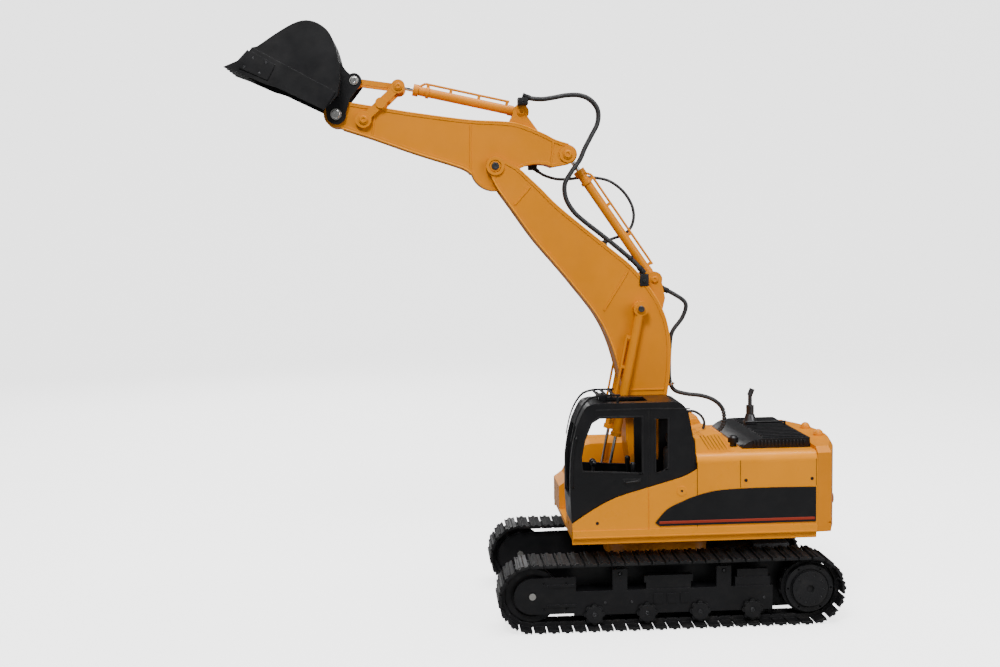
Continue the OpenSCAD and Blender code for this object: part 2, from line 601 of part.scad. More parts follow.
module battery_pack() {
    color("steelblue") placed() slab([-115, -17, deck_lo + 0.5], [-73, 17, 104]);
}
module battery_door() {
    color(black) placed() difference() {
        union() {
            slab([-128, -30, 77.5], [-66, 30, deck_lo]);
            for (i = [0:5]) slab([-112 + 8 * i, -16, 76.7], [-109 + 8 * i, 16, 77.6]);
        }
        for (x = screw_x) for (y = [-25, 25]) translate([x + 5, y, 70]) cylinder(h = 20, r = 1.2);
    }
}
module circuit_board() {
    color("seagreen") placed() {
        slab([-20, -74, 104], [40, -36, 105.6]);
        for (x = [-16, 34]) for (y = [-70, -40]) translate([x, y, deck_hi]) cylinder(h = 20, r = 2, $fn = 24);
        for (x = [-10, 6, 22]) slab([x, -66, 105.5], [x + 11, -58, 107.4]);
        slab([-4, -50, 105.5], [18, -40, 111]);
    }
}
module power_switch() {
    color(black) placed() {
        slab([-61.8, 36.6, 76], [-57.2, 41.4, 84]);
        slab([-60.6, 37.8, 74], [-58.4, 40.2, 76.1]);
    }
}
module house_pins() {
    color(steel) placed() {
        bar_y(foot, axle_r, -cheek_y - cheek_t, cheek_y + cheek_t);
        both_sides() {
            bar_y(foot, 5.4, cheek_y + cheek_t, cheek_y + cheek_t + 1.2);
            bar_y(boom_cyl_foot, 2.2, cheek_y, cyl_y + 4);
            bar_y(boom_cyl_foot, 3.6, cyl_y + 3, cyl_y + 5);
        }
    }
}

// ---- boom ----------------------------------------------------------------------------

rim_t = 0.6;                              // height of the rims along the edges
rim_w = 2.6;
boom_rear = curve([[128, 414], [108, 395], [89, 376], [48, 342], [23, 321], [5, 299], [-5.5, 280], [-10.8, 262],
    [-12.6, 242], [-11.4, 219], [-8.8, 200], [-5.6, 172], [-2, 145]], 3);
boom_front = curve([[26, 134], [28.6, 158], [29.4, 182], [33, 215], [42, 249], [55, 276], [77, 305], [90, 321],
    [113, 348.5], [133, 377], [145, 394], [151, 405]], 3);
boom_side = concat(arc(elbow, 8.6, -40, 125, 12), boom_rear, arc(foot, 14, 170, 340, 10), boom_front);
fork_r = 26;                              // the fork is open this far round the elbow

// a shell between side walls: the outline's edge all round, open inside
module rim_and_wall(outline, hw, wall) {
    both_sides() difference() {
        plate(outline, hw - wall, wall + rim_t);
        plate(inset(outline, rim_w), hw, rim_t + 1);
    }
}
module web(outline, hw, wall) {
    difference() {
        plate(outline, -hw + 0.1, 2 * hw - 0.2);
        plate(inset(outline, wall), -hw, 2 * hw);
    }
}
module boom() {
    fork_wall = boom_hw - stick_hw - rim_t - gap;
    fin = concat([[16, 314]], [[5, 316.5]], arc(stick_cyl_base, 7.5, 60, 200, 8), [[-10, 291], [-7, 278], [8, 298]]);
    color(yellow) placed() difference() {
        union() {
            difference() {
                union() {
                    rim_and_wall(boom_side, boom_hw, arm_wall);
                    web(boom_side, boom_hw, arm_wall);
                }
                bar_y(elbow, fork_r, -boom_hw + fork_wall, boom_hw - fork_wall);
            }
            // cheeks of the fork, bosses at the pivots and the fins for the stick cylinder
            both_sides() {
                bar_y(elbow, 8.4, boom_hw - 0.1, boom_hw + 1.8);
                bar_y(boom_cyl_top, 6.6, boom_hw - 0.1, cyl_y - 4.4);
                plate(fin, 5.6, 2.6);
                bar_y(foot, 7, 8, boom_hw - 0.1);
                bar_y(boom_cyl_top, 5, 8, boom_hw - 0.1);
            }
            // cross web that carries the bosses
            slab([2, -boom_hw + 0.1, 205], [24, boom_hw - 0.1, 207.2]);
        }
        bar_y(foot, axle_r + fit, -30, 30);
        bar_y(elbow, axle_r, -30, 30);
        both_sides() bar_y(elbow, 5.6, boom_hw + 0.4, boom_hw + 3);
        bar_y(stick_cyl_base, 2.2, -30, 30);
        bar_y(boom_cyl_top, 2.2, -30, 30);
        slab([-12, -5.6, 290], [16, 5.6, 319]);
    }
}
module boom_pins() {
    color(steel) placed() {
        bar_y(elbow, axle_r, -boom_hw - 0.4, boom_hw + 0.4);
        bar_y(stick_cyl_base, 2.2, -8.2, 8.2);
        both_sides() {
            bar_y(elbow, 5, boom_hw + 0.4, boom_hw + 1.2);
            bar_y(stick_cyl_base, 3.6, 8.2, 9.2);
            bar_y(boom_cyl_top, 2.2, 8, cyl_y + 5.4);
            bar_y(boom_cyl_top, 3.8, cyl_y + 4.6, cyl_y + 5.6);
        }
    }
}

// ---- stick ---------------------------------------------------------------------------

stick_top = curve([[280, 474.4], [254, 470], [219.6, 464.2], [171, 457.5], [131, 454.5], [106, 445.5],
    [92, 438.4], [80, 434.6]], 3);
stick_low = curve([[169.8, 409], [179, 415.2], [220.4, 428.8], [260, 443.1], [287, 452]], 3);
stick_side = concat(arc(wrist, 11.4, -100, 80, 14), stick_top, arc(stick_rear, 8.8, 110, 265, 10),
    [[95, 414.2], [101, 416.4], [110, 417.2], [119, 416], [126.5, 412.8]],
    arc(elbow, 22.4, 190, 342, 14), stick_low);
module stick() {
    fin = concat([[136, 452], [131, 462]], arc(bucket_cyl_base, 7.4, 20, 215, 10), [[107, 447], [112, 440], [132, 444]]);
    color(yellow) placed() difference() {
        union() {
            difference() {
                union() {
                    rim_and_wall(stick_side, stick_hw, arm_wall);
                    web(stick_side, stick_hw, arm_wall);
                }
                // the rear end is open between its cheeks for the stick cylinder's rod
                slab([66, -stick_hw + arm_wall, 406], [97, stick_hw - arm_wall, 440]);
            }
            both_sides() {
                bar_y(stick_rear, 7.6, stick_hw - 0.1, stick_hw + 1.6);
                plate(fin, 5.6, 2.6);
                bar_y(elbow, 8, 4, stick_hw - 0.1);
                bar_y(rocker_foot, 5, stick_hw - 4, stick_hw + rim_t);
                bar_y(wrist, 7, 5, stick_hw + rim_t);
            }
            slab([96.9, -stick_hw + 0.1, 417], [99.2, stick_hw - 0.1, 440.5]);
            slab([168, -stick_hw + 0.1, 412], [170.2, stick_hw - 0.1, 456]);
        }
        bar_y(elbow, axle_r + fit, -30, 30);
        bar_y(wrist, axle_r + fit, -30, 30);
        bar_y(rocker_foot, 2.5, -30, 30);
        bar_y(bucket_cyl_base, 2.2, -30, 30);
        bar_y(stick_rear, 3, -30, 30);
        slab([104, -5.6, 448.5], [140, 5.6, 476]);
    }
}
module stick_pins() {
    color(steel) placed() {
        bar_y(rocker_foot, 2.5, -17.4, 17.4);
        bar_y(bucket_cyl_base, 2.2, -8.2, 8.2);
        both_sides() {
            bar_y(rocker_foot, 4.2, 17.3, 18.4);
            bar_y(bucket_cyl_base, 3.6, 8.2, 9.2);
            bar_y(stick_rear, 3, stick_hw - arm_wall, stick_hw + 1.6);
            bar_y(stick_rear, 4.4, stick_hw + 1.6, stick_hw + 2.6);
        }
    }
}

// ---- cylinders -----------------------------------------------------------------------

rod_r = 2;
eye_w = 10;
// the rods of the stick and bucket cylinders end in eyes that have play between their cheeks
stick_rod_eye = stick_rear + [-0.9, 1.2];
bucket_rod_eye = rocker_top + [-0.4, 1.4];
stick_head = 124;                         // distance of each barrel's head from its pivot
bucket_head = 101;
boom_head = 121;

// the barrel of a cylinder along local +X from its pivot: eye, tube, head and line guard
module barrel(head, bore, gland, eye_bore, guard_z) {
    difference() {
        union() {
            bar_x(barrel_r, 4, head - 1);
            bar_x(barrel_r + 1.1, head - 15, head - 12);
            bar_x(barrel_r + 1.3, head - 5, head);
            bar_x(barrel_r + 0.6, 7, 12);
            bar_y([0, 0], 6, -eye_w / 2, eye_w / 2);
            guard(guard_z, head);
        }
        bar_x(bore, 9, head - 5);
        bar_x(gland, head - 6, head + 1);
        bar_y([0, 0], eye_bore, -10, 10);
    }
}
// the hydraulic line that runs beside a barrel on small posts
module guard(z, head) {
    s = sign(z);
    translate([0, 0, z]) bar_x(1.1, 12, head - 10, $fn = 16);
    for (x = [14, 20 + (head - 40) / 3, 26 + (head - 40) * 2 / 3, head - 13])
        slab([x - 1.4, -1.1, min(s * (barrel_r - 0.6), z)], [x + 1.4, 1.1, max(s * (barrel_r - 0.6), z)]);
    translate([head - 10, 0, z]) rotate([0, 90 + s * 38, 0]) cylinder(h = 6, r = 1.1, $fn = 16);
}
module rod(tip, inner, r, eye_r, hole) {
    difference() {
        union() {
            bar_x(r, inner, tip - 2);
            bar_y([tip, 0], eye_r, -4, 4);
        }
        bar_y([tip, 0], hole, -10, 10);
    }
}
module stick_cylinder_barrel() {
    color(yellow) placed() along(stick_cyl_base, stick_rod_eye)
        barrel(stick_head, 3.2, rod_r + fit, 2.2 + fit, 7.6);
}
module stick_cylinder_rod() {
    color(steel) placed() along(stick_cyl_base, stick_rod_eye) {
        rod(norm(stick_rod_eye - stick_cyl_base), 13, rod_r, 4.2, 2.2);
        bar_x(3.1, 11, 15);
    }
}
module bucket_cylinder_barrel() {
    color(yellow) placed() along(bucket_cyl_base, bucket_rod_eye)
        barrel(bucket_head, 3.2, rod_r + fit, 2.2 + fit, 7.6);
}
module bucket_cylinder_rod() {
    color(steel) placed() along(bucket_cyl_base, bucket_rod_eye) {
        rod(norm(bucket_rod_eye - bucket_cyl_base), 13, rod_r, 3.2, 1.6);
        bar_x(3.1, 11, 15);
    }
}
module boom_cylinder_barrels() {
    color(yellow) placed() both_sides() along(boom_cyl_top, boom_cyl_foot, cyl_y) difference() {
        union() {
            bar_x(barrel_r, 4, boom_head);
            bar_y([0, 0], 6.8, -4, 4);
            bar_x(barrel_r + 0.9, boom_head - 4, boom_head);
            translate([0, 0, 7.4]) bar_x(1.1, 26, boom_head - 10, $fn = 16);
            for (x = [28, 56, 84, boom_head - 13]) slab([x - 1.4, -1.1, barrel_r - 0.6], [x + 1.4, 1.1, 7.4]);
        }
        bar_x(barrel_r - 0.7, 9, boom_head + 1);
        bar_y([0, 0], 2.2 + fit, -10, 10);
    }
}
module boom_cylinder_rods() {
    reach = norm(boom_cyl_top - boom_cyl_foot);
    color(steel) placed() both_sides() along(boom_cyl_foot, boom_cyl_top, cyl_y) difference() {
        union() {
            bar_x(1.5, 2, reach - boom_head + 28);
            bar_y([0, 0], 5, -1.5, 2.9);
        }
        bar_y([0, 0], 2.2 + fit, -10, 10);
    }
}

// ---- rocker, link and bucket -----------------------------------------------------------

rocker_in = stick_hw + rim_t + gap;
module rocker() {
    middle = (rocker_foot + rocker_top) / 2;
    color(yellow) placed() both_sides() {
        difference() {
            union() {
                bar_y(rocker_foot, 7.4, rocker_in, rocker_in + 3.2);
                bar_y(rocker_top, 6.2, rocker_in, rocker_in + 3.2);
                bar_y(middle, 5, rocker_in, rocker_in + 4);
                along(rocker_foot, rocker_top)
                    slab([5, rocker_in + 0.3, -3.8], [norm(rocker_top - rocker_foot) - 3, rocker_in + 2.9, 3.8]);
                bar_y(rocker_top, 3.6, rocker_in + 3.1, rocker_in + 4.4);
            }
            bar_y(rocker_foot, 2.5 + fit, rocker_in - 1, rocker_in + 5);
        }
    }
    // cross tube between the two plates, clear of the stick
    color(yellow) placed() bar_y(middle + [-5.6, 6.6], 1.6, -rocker_in - 1, rocker_in + 1);
}
module link() {
    color(yellow) placed() {
        both_sides() difference() {
            union() {
                along(bucket_ear, rocker_top)
                    slab([3.6, 9.6, -2.4], [norm(rocker_top - bucket_ear) - 2.2, 13.2, 2.4]);
                bar_y(rocker_top, 3.4, 9.4, 13.4);
            }
            bar_y(rocker_top, 1.6, 9, 14);
        }
        difference() {
            bar_y(bucket_ear, 5, -13.6, 13.6);
            bar_y(bucket_ear, 2.2 + fit, -14, 14);
        }
    }
}
bucket_wall = 2;
bucket_back = curve([[362, 521.4], [357, 522.6], [342, 532.5], [326, 541.6], [314, 544.6], [303, 541.6], [293.5, 533],
    [288.4, 518], [286, 504], [286.4, 491], [288.6, 478.6]], 3);
bucket_mouth = [[300.6, 466.4], [342, 486.6], [352, 489.6], [374, 499.6]];
bucket_side = concat(bucket_mouth, bucket_back);
ear_in = stick_hw + rim_t + gap;
teeth = 5;
module bucket() {
    sheet = concat(bucket_back, [for (k = [len(bucket_back) - 1:-1:0]) let (
        a = bucket_back[max(k - 1, 0)], b = bucket_back[min(k + 1, len(bucket_back) - 1)])
        bucket_back[k] + bucket_wall * left_of(unit(b - a))]);
    lip = [[374, 499.6], [377, 503], [362, 521.4], [355, 522.6], [358, 519]];
    ear = concat(arc(bucket_ear, 6.8, 60, 215, 8), [[278.6, 478]], arc(wrist, 9, 170, 330, 10),
        [[300.6, 470], [296, 480], [288.4, 486], [287.4, 492], [287.4, 503], [288, 512], [280.5, 502]]);
    bolts = [[361, 512], [369, 504.5], [350, 508], [356, 498.5]];
    color(black) placed() difference() {
        union() {
            // curved back, side walls with a thicker lip, and the cutting edge
            plate(sheet, -bucket_hw, 2 * bucket_hw);
            both_sides() {
                plate(bucket_side, bucket_hw - bucket_wall, bucket_wall);
                plate([[300.6, 466.4], [342, 486.6], [352, 489.6], [374, 499.6], [362, 521.4], [289.6, 481.8]],
                    bucket_hw - 0.1, 1);
                plate([[342, 505.8], [349.2, 492.6], [374, 503.6], [362, 517.6]], bucket_hw + 0.8, 1.2);
                plate(ear, ear_in, 3);
            }
            plate(lip, -bucket_hw, 2 * bucket_hw);
            for (i = [0:teeth - 1]) translate([0, (i - (teeth - 1) / 2) * (2 * bucket_hw - 8) / (teeth - 1), 0])
                plate([[368, 497.4], [tip_x, 504.8], [375, 510], [366, 519.4], [362, 516]], -4, 8);
        }
        both_sides() for (b = bolts) bar_y(b, 1.3, bucket_hw + 1, bucket_hw + 3);
        bar_y(wrist, axle_r, -30, 30);
        bar_y(bucket_ear, 2.2, -30, 30);
        // room for the nose of the stick and the link
        bar_y(wrist, 13, -ear_in, ear_in);
        bar_y(bucket_ear, 6, -ear_in, ear_in);
    }
}
module bucket_pins() {
    color(steel) placed() {
        bar_y(wrist, axle_r, -ear_in - 3, ear_in + 3);
        bar_y(bucket_ear, 2.2, -ear_in - 3, ear_in + 3);
        both_sides() {
            bar_y(wrist, 5, ear_in + 3, ear_in + 4.2);
            bar_y(bucket_ear, 4, ear_in + 3, ear_in + 4);
        }
    }
}

// ---- hoses ---------------------------------------------------------------------------

function at_y(route, y) = [for (p = route) [p[0], y, p[1]]];
// two lines from the bucket cylinder over the elbow to the top of the boom
stick_route = [[122, 479], [114, 476.6], [104, 475.8], [94, 477], [82, 479], [70, 479], [60, 475], [53, 466],
    [53, 454], [59, 442], [65, 431], [70, 420], [78, 409], [84, 398], [83, 385], [76, 373], [66, 363.6], [52, 352.5],
    [36, 339.5], [20, 325.5], [11, 315]];
// one line from the stick's rear end round the line guard of the stick cylinder to the boom
loop_route = [[110, 414], [102, 408], [90, 404], [78, 403.6], [65, 405], [52, 404.4], [39, 401], [27, 392], [19, 380],
    [16.5, 368.5], [19, 358], [26, 351], [36, 347.4], [45, 344]];
// one line from the stick cylinder's base down the back of the boom to the deck
boom_route = [[-8, 300], [-20, 294], [-31, 285], [-28, 272], [-18, 258], [-15.6, 242], [-15, 226], [-15.6, 212],
    [-20, 202.6], [-32, 198.6], [-46, 196.6], [-58, 192], [-66, 184], [-68, 173], [-65, 165], [-58, 160.5],
    [-48, 159.6], [-38.2, 159.6]];
cab_loop = [[-18, 45, 188], [-28, 45, 188], [-34, 45, 183], [-37, 45, 177], [-37, 45, 172.3]];
module stick_hoses() {
    color(black) placed() for (y = [11.4, 15.8]) hose(at_y(stick_route, y), 2);
}
module loop_hose() {
    color(black) placed() hose(at_y(loop_route, -8), 1.4);
}
module boom_hose() {
    color(black) placed() hose(at_y(boom_route, 0), 2);
}
module house_hose() {
    color(black) placed() hose(cab_loop, 1.2);
}

// ---- the part ------------------------------------------------------------------------

undercarriage_frame();
slew_ring();
travel_motors();
wheel_axles();
track_frame(1);  // track_frame_left
track_frame(-1);  // track_frame_right
track(1);  // track_left
track(-1);  // track_right
sprocket(1);  // sprocket_left
sprocket(-1);  // sprocket_right
idler(1);  // idler_left
idler(-1);  // idler_right
roller(1, 0);  // roller_left_1
roller(1, 1);  // roller_left_2
roller(1, 2);  // roller_left_3
roller(1, 3);  // roller_left_4
roller(-1, 0);  // roller_right_1
roller(-1, 1);  // roller_right_2
roller(-1, 2);  // roller_right_3
roller(-1, 3);  // roller_right_4
turntable();
boom_bracket();
shell_left();
shell_right();
hood();
counterweight();
side_panels();
engine_cover();
hood_rails();
exhaust();
pre_cleaner();
cab();
cab_seat();
cab_levers();
roof_guard();
battery_pack();
battery_door();
circuit_board();
slew_motor();
slew_pinion();
power_switch();
house_pins();
boom();
boom_pins();
boom_cylinder_barrels();
boom_cylinder_rods();
stick();
stick_pins();
stick_cylinder_barrel();
stick_cylinder_rod();
bucket_cylinder_barrel();
bucket_cylinder_rod();
rocker();
link();
bucket();
bucket_pins();
stick_hoses();
loop_hose();
boom_hose();
house_hose();
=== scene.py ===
import bpy, bmesh, json, math
from mathutils import Matrix, Vector


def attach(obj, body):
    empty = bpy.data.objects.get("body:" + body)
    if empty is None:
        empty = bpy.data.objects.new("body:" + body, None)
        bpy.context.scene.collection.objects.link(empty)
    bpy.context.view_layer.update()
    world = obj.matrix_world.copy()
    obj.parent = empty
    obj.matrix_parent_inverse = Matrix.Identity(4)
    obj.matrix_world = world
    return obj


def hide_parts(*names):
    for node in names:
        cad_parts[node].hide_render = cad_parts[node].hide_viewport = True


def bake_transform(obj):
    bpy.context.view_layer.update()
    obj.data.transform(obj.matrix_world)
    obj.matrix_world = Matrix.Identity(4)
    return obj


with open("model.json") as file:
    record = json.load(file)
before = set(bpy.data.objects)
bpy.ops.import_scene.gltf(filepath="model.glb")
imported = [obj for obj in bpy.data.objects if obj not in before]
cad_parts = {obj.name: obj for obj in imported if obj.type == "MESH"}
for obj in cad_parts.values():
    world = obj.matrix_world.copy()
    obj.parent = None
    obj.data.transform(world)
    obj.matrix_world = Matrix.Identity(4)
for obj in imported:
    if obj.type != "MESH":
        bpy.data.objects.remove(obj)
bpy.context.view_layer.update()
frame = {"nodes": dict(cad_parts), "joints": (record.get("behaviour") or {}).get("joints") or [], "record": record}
nodes = frame["nodes"]
MM = 0.001
SLEW_X = next(joint["pos_m"][0] for joint in frame["joints"] if joint["name"] == "slew")


def at(x, y, z):
    """A point given in millimetres forward of the slewing axis, to the left and above the ground."""
    return Vector((SLEW_X + x * MM, y * MM, z * MM))


# ---- camera and stage ------------------------------------------------------------------

YAW, PITCH, ROLL = (math.radians(a) for a in (3.29, 5.13, -0.97))
CAMERA_PLACE = at(211, 1143, 363)
SENSOR_WIDTH = 36
FOCAL_LENGTH = 44.03
cam_data = bpy.data.cameras.new("camera")
cam_data.sensor_width = SENSOR_WIDTH
cam_data.lens = FOCAL_LENGTH
camera = bpy.data.objects.new("camera", cam_data)
bpy.context.scene.collection.objects.link(camera)
bpy.context.scene.camera = camera
ahead = Vector((-math.sin(YAW) * math.cos(PITCH), -math.cos(YAW) * math.cos(PITCH), -math.sin(PITCH)))
level = ahead.cross(Vector((0, 0, 1))).normalized()
right = math.cos(ROLL) * level + math.sin(ROLL) * level.cross(ahead)
turned_to_view = Matrix((right, right.cross(ahead), -ahead)).transposed()
camera.matrix_world = Matrix.Translation(CAMERA_PLACE) @ turned_to_view.to_4x4()


def area_light(name, place, target, size, watts):
    data = bpy.data.lights.new(name, "AREA")
    data.size = size
    data.energy = watts
    lamp = bpy.data.objects.new(name, data)
    bpy.context.scene.collection.objects.link(lamp)
    lamp.location = place
    lamp.rotation_euler = (Vector(target) - Vector(place)).to_track_quat("-Z", "Y").to_euler()


area_light("key", (0.35, 1.25, 1.7), (0.0, 0, 0.25), 0.55, 38)
area_light("fill", (-1.35, 1.3, 0.8), (0, 0, 0.2), 0.8, 14)
area_light("top", (-0.35, -0.1, 1.8), (0, 0, 0.2), 0.9, 26)
area_light("back", (0.5, -1.6, 1.0), (0, 0, 0.25), 0.9, 10)
world = bpy.data.worlds.new("studio")
bpy.context.scene.world = world
world.use_nodes = True
sky = world.node_tree
backdrop = sky.nodes["Background"]
backdrop.inputs["Color"].default_value = (1, 1, 1, 1)
# the sky lights the object softly and is white to the camera
SKY_LIGHT, SKY_SEEN = 0.22, 2.0
seen = sky.nodes.new("ShaderNodeLightPath")
sky_level = sky.nodes.new("ShaderNodeMapRange")
for socket, value in (("From Min", 0.0), ("From Max", 1.0), ("To Min", SKY_LIGHT), ("To Max", SKY_SEEN)):
    sky_level.inputs[socket].default_value = value
sky.links.new(seen.outputs["Is Camera Ray"], sky_level.inputs["Value"])
sky.links.new(sky_level.outputs["Result"], backdrop.inputs["Strength"])


# ---- materials -------------------------------------------------------------------------

class Shader:
    """A principled material with a few short cuts for its node tree."""

    def __init__(self, name):
        self.mat = bpy.data.materials.new(name)
        self.mat.use_nodes = True
        self.tree = self.mat.node_tree
        self.bsdf = self.tree.nodes["Principled BSDF"]
        self.place = self.add("ShaderNodeTexCoord").outputs["Object"]

    def add(self, kind, **settings):
        node = self.tree.nodes.new(kind)
        for key, value in settings.items():
            setattr(node, key, value)
        return node

    def link(self, a, b):
        self.tree.links.new(a, b)

    def noise(self, scale, detail=3.0, rough=0.55, stretch=None):
        node = self.add("ShaderNodeTexNoise")
        node.inputs["Scale"].default_value = scale
        node.inputs["Detail"].default_value = detail
        node.inputs["Roughness"].default_value = rough
        source = self.place
        if stretch:
            mapping = self.add("ShaderNodeMapping")
            mapping.inputs["Scale"].default_value = stretch
            self.link(self.place, mapping.inputs["Vector"])
            source = mapping.outputs["Vector"]
        self.link(source, node.inputs["Vector"])
        return node.outputs["Fac"]

    def ramp(self, value, low, high, to_low=0.0, to_high=1.0):
        node = self.add("ShaderNodeMapRange")
        for key, number in zip(("From Min", "From Max", "To Min", "To Max"), (low, high, to_low, to_high)):
            node.inputs[key].default_value = number
        self.link(value, node.inputs["Value"])
        return node.outputs["Result"]

    def times(self, a, b):
        node = self.add("ShaderNodeMath", operation="MULTIPLY")
        self.link(a, node.inputs[0])
        self.link(b, node.inputs[1])
        return node.outputs[0]

    def mix(self, factor, a, b):
        """Mixes two colours; each is a colour or a socket."""
        node = self.add("ShaderNodeMix", data_type="RGBA")
        self.link(factor, node.inputs["Factor"])
        for value, socket in ((a, node.inputs[6]), (b, node.inputs[7])):
            if isinstance(value, tuple):
                socket.default_value = (*value, 1)
            else:
                self.link(value, socket)
        return node.outputs[2]

    def edges(self, radius):
        """(rounded normal, how near the point is to an outer or inner edge)."""
        bevel = self.add("ShaderNodeBevel", samples=4)
        bevel.inputs["Radius"].default_value = radius
        flat = self.add("ShaderNodeNewGeometry").outputs["True Normal"]
        dot = self.add("ShaderNodeVectorMath", operation="DOT_PRODUCT")
        self.link(bevel.outputs[0], dot.inputs[0])
        self.link(flat, dot.inputs[1])
        return bevel.outputs[0], self.ramp(dot.outputs["Value"], 0.985, 0.8)

    def bump(self, height, depth, normal=None):
        node = self.add("ShaderNodeBump")
        node.inputs["Strength"].default_value = 1.0
        node.inputs["Distance"].default_value = depth
        self.link(height, node.inputs["Height"])
        if normal:
            self.link(normal, node.inputs["Normal"])
        return node.outputs["Normal"]


def tint(colour, factor):
    return tuple(min(1.0, c * factor) for c in colour)


DUST = (0.30, 0.27, 0.23)


def moulded(name, colour, rough, grain=2200, depth=0.00003, edge_wear_and_highlight=1.5, patch=0.1, dust=0.0, coat=0.0, shine=0.3):
    """Moulded or painted surface: broad tone patches, fine grain, rounded edges lightened partly by wear and partly as
    a painted highlight, a film of dust.
    """
    s = Shader(name)
    normal, edge_mask = s.edges(0.00035)
    broad = s.ramp(s.noise(28, 4), 0.35, 0.65)
    tone = s.mix(broad, tint(colour, 1 - patch), tint(colour, 1 + patch * 0.6))
    # edges lightened in colour: partly rubbed paint, partly a painted highlight along the rims
    worn_and_highlit = s.times(edge_mask, s.ramp(s.noise(160, 3), 0.3, 0.6, 0.35, 1.0))
    tone = s.mix(worn_and_highlit, tone, tint(colour, edge_wear_and_highlight))
    if dust:
        specks = s.ramp(s.noise(900, 2), 0.2, 0.8, 0.2 * dust, dust)
        film = s.times(s.ramp(s.noise(95, 6, 0.65), 0.48, 0.78), specks)
        tone = s.mix(film, tone, DUST)
    s.link(tone, s.bsdf.inputs["Base Color"])
    s.link(s.ramp(s.noise(70, 5), 0.3, 0.7, rough - 0.06, rough + 0.09), s.bsdf.inputs["Roughness"])
    s.bsdf.inputs["Specular IOR Level"].default_value = shine
    s.bsdf.inputs["Coat Weight"].default_value = coat
    s.bsdf.inputs["Coat Roughness"].default_value = 0.18
    s.link(s.bump(s.noise(grain, 2), depth, normal), s.bsdf.inputs["Normal"])
    return s.mat


def turned(name, colour, rough, scale=1400):
    """Bare metal with fine turning marks across Y and edges lightened as a painted highlight."""
    s = Shader(name)
    normal, edge_mask = s.edges(0.0002)
    marks = s.noise(scale, 3, 0.6, stretch=(0.08, 1, 0.08))
    tone = s.mix(s.ramp(s.noise(60, 4), 0.35, 0.7), tint(colour, 0.75), colour)
    # painted highlight: the edges are lightened in colour
    s.link(s.mix(edge_mask, tone, tint(colour, 1.3)), s.bsdf.inputs["Base Color"])
    s.bsdf.inputs["Metallic"].default_value = 1.0
    s.link(s.ramp(marks, 0.3, 0.7, rough - 0.08, rough + 0.12), s.bsdf.inputs["Roughness"])
    s.link(s.bump(marks, 0.00002, normal), s.bsdf.inputs["Normal"])
    return s.mat


def hose_rubber(name, colour):
    """Hose cover with fine wrap marks and lighter patches, partly scuffs and partly a painted highlight."""
    s = Shader(name)
    weave = s.add("ShaderNodeTexWave", wave_type="BANDS", bands_direction="DIAGONAL")
    weave.inputs["Scale"].default_value = 900
    weave.inputs["Distortion"].default_value = 1.5
    s.link(s.place, weave.inputs["Vector"])
    # lighter patches on the cover: scuffs and a painted highlight
    scuff_and_sheen = s.ramp(s.noise(240, 4), 0.5, 0.75)
    s.link(s.mix(scuff_and_sheen, colour, tint(colour, 2.6)), s.bsdf.inputs["Base Color"])
    s.link(s.ramp(s.noise(180, 3), 0.3, 0.7, 0.42, 0.62), s.bsdf.inputs["Roughness"])
    s.link(s.bump(weave.outputs["Fac"], 0.00006), s.bsdf.inputs["Normal"])
    return s.mat


def seat_vinyl(name, colour):
    """Grained seat cover: small closed cells over broad creases."""
    s = Shader(name)
    cells = s.add("ShaderNodeTexVoronoi", feature="DISTANCE_TO_EDGE")
    cells.inputs["Scale"].default_value = 1300
    s.link(s.place, cells.inputs["Vector"])
    s.link(s.mix(s.ramp(s.noise(140, 4), 0.35, 0.7), colour, tint(colour, 1.7)), s.bsdf.inputs["Base Color"])
    s.link(s.ramp(s.noise(300, 3), 0.3, 0.7, 0.5, 0.68), s.bsdf.inputs["Roughness"])
    s.link(s.bump(s.ramp(cells.outputs["Distance"], 0.0, 0.12), 0.00005), s.bsdf.inputs["Normal"])
    return s.mat


def lens(name, colour):
    """Moulded lamp lens with a fine prism pattern."""
    s = Shader(name)
    cells = s.add("ShaderNodeTexVoronoi")
    cells.inputs["Scale"].default_value = 1500
    s.link(s.place, cells.inputs["Vector"])
    s.link(s.mix(cells.outputs["Distance"], colour, tint(colour, 0.6)), s.bsdf.inputs["Base Color"])
    s.bsdf.inputs["Roughness"].default_value = 0.08
    s.bsdf.inputs["Coat Weight"].default_value = 1.0
    s.link(s.bump(cells.outputs["Distance"], 0.0002), s.bsdf.inputs["Normal"])
    return s.mat


def circuit(name):
    """Green board with a maze of lighter traces."""
    s = Shader(name)
    bricks = s.add("ShaderNodeTexBrick")
    bricks.inputs["Scale"].default_value = 160
    bricks.inputs["Mortar Size"].default_value = 0.04
    s.link(s.place, bricks.inputs["Vector"])
    s.link(s.mix(bricks.outputs["Fac"], (0.01, 0.10, 0.04), (0.35, 0.32, 0.10)), s.bsdf.inputs["Base Color"])
    s.bsdf.inputs["Roughness"].default_value = 0.35
    return s.mat


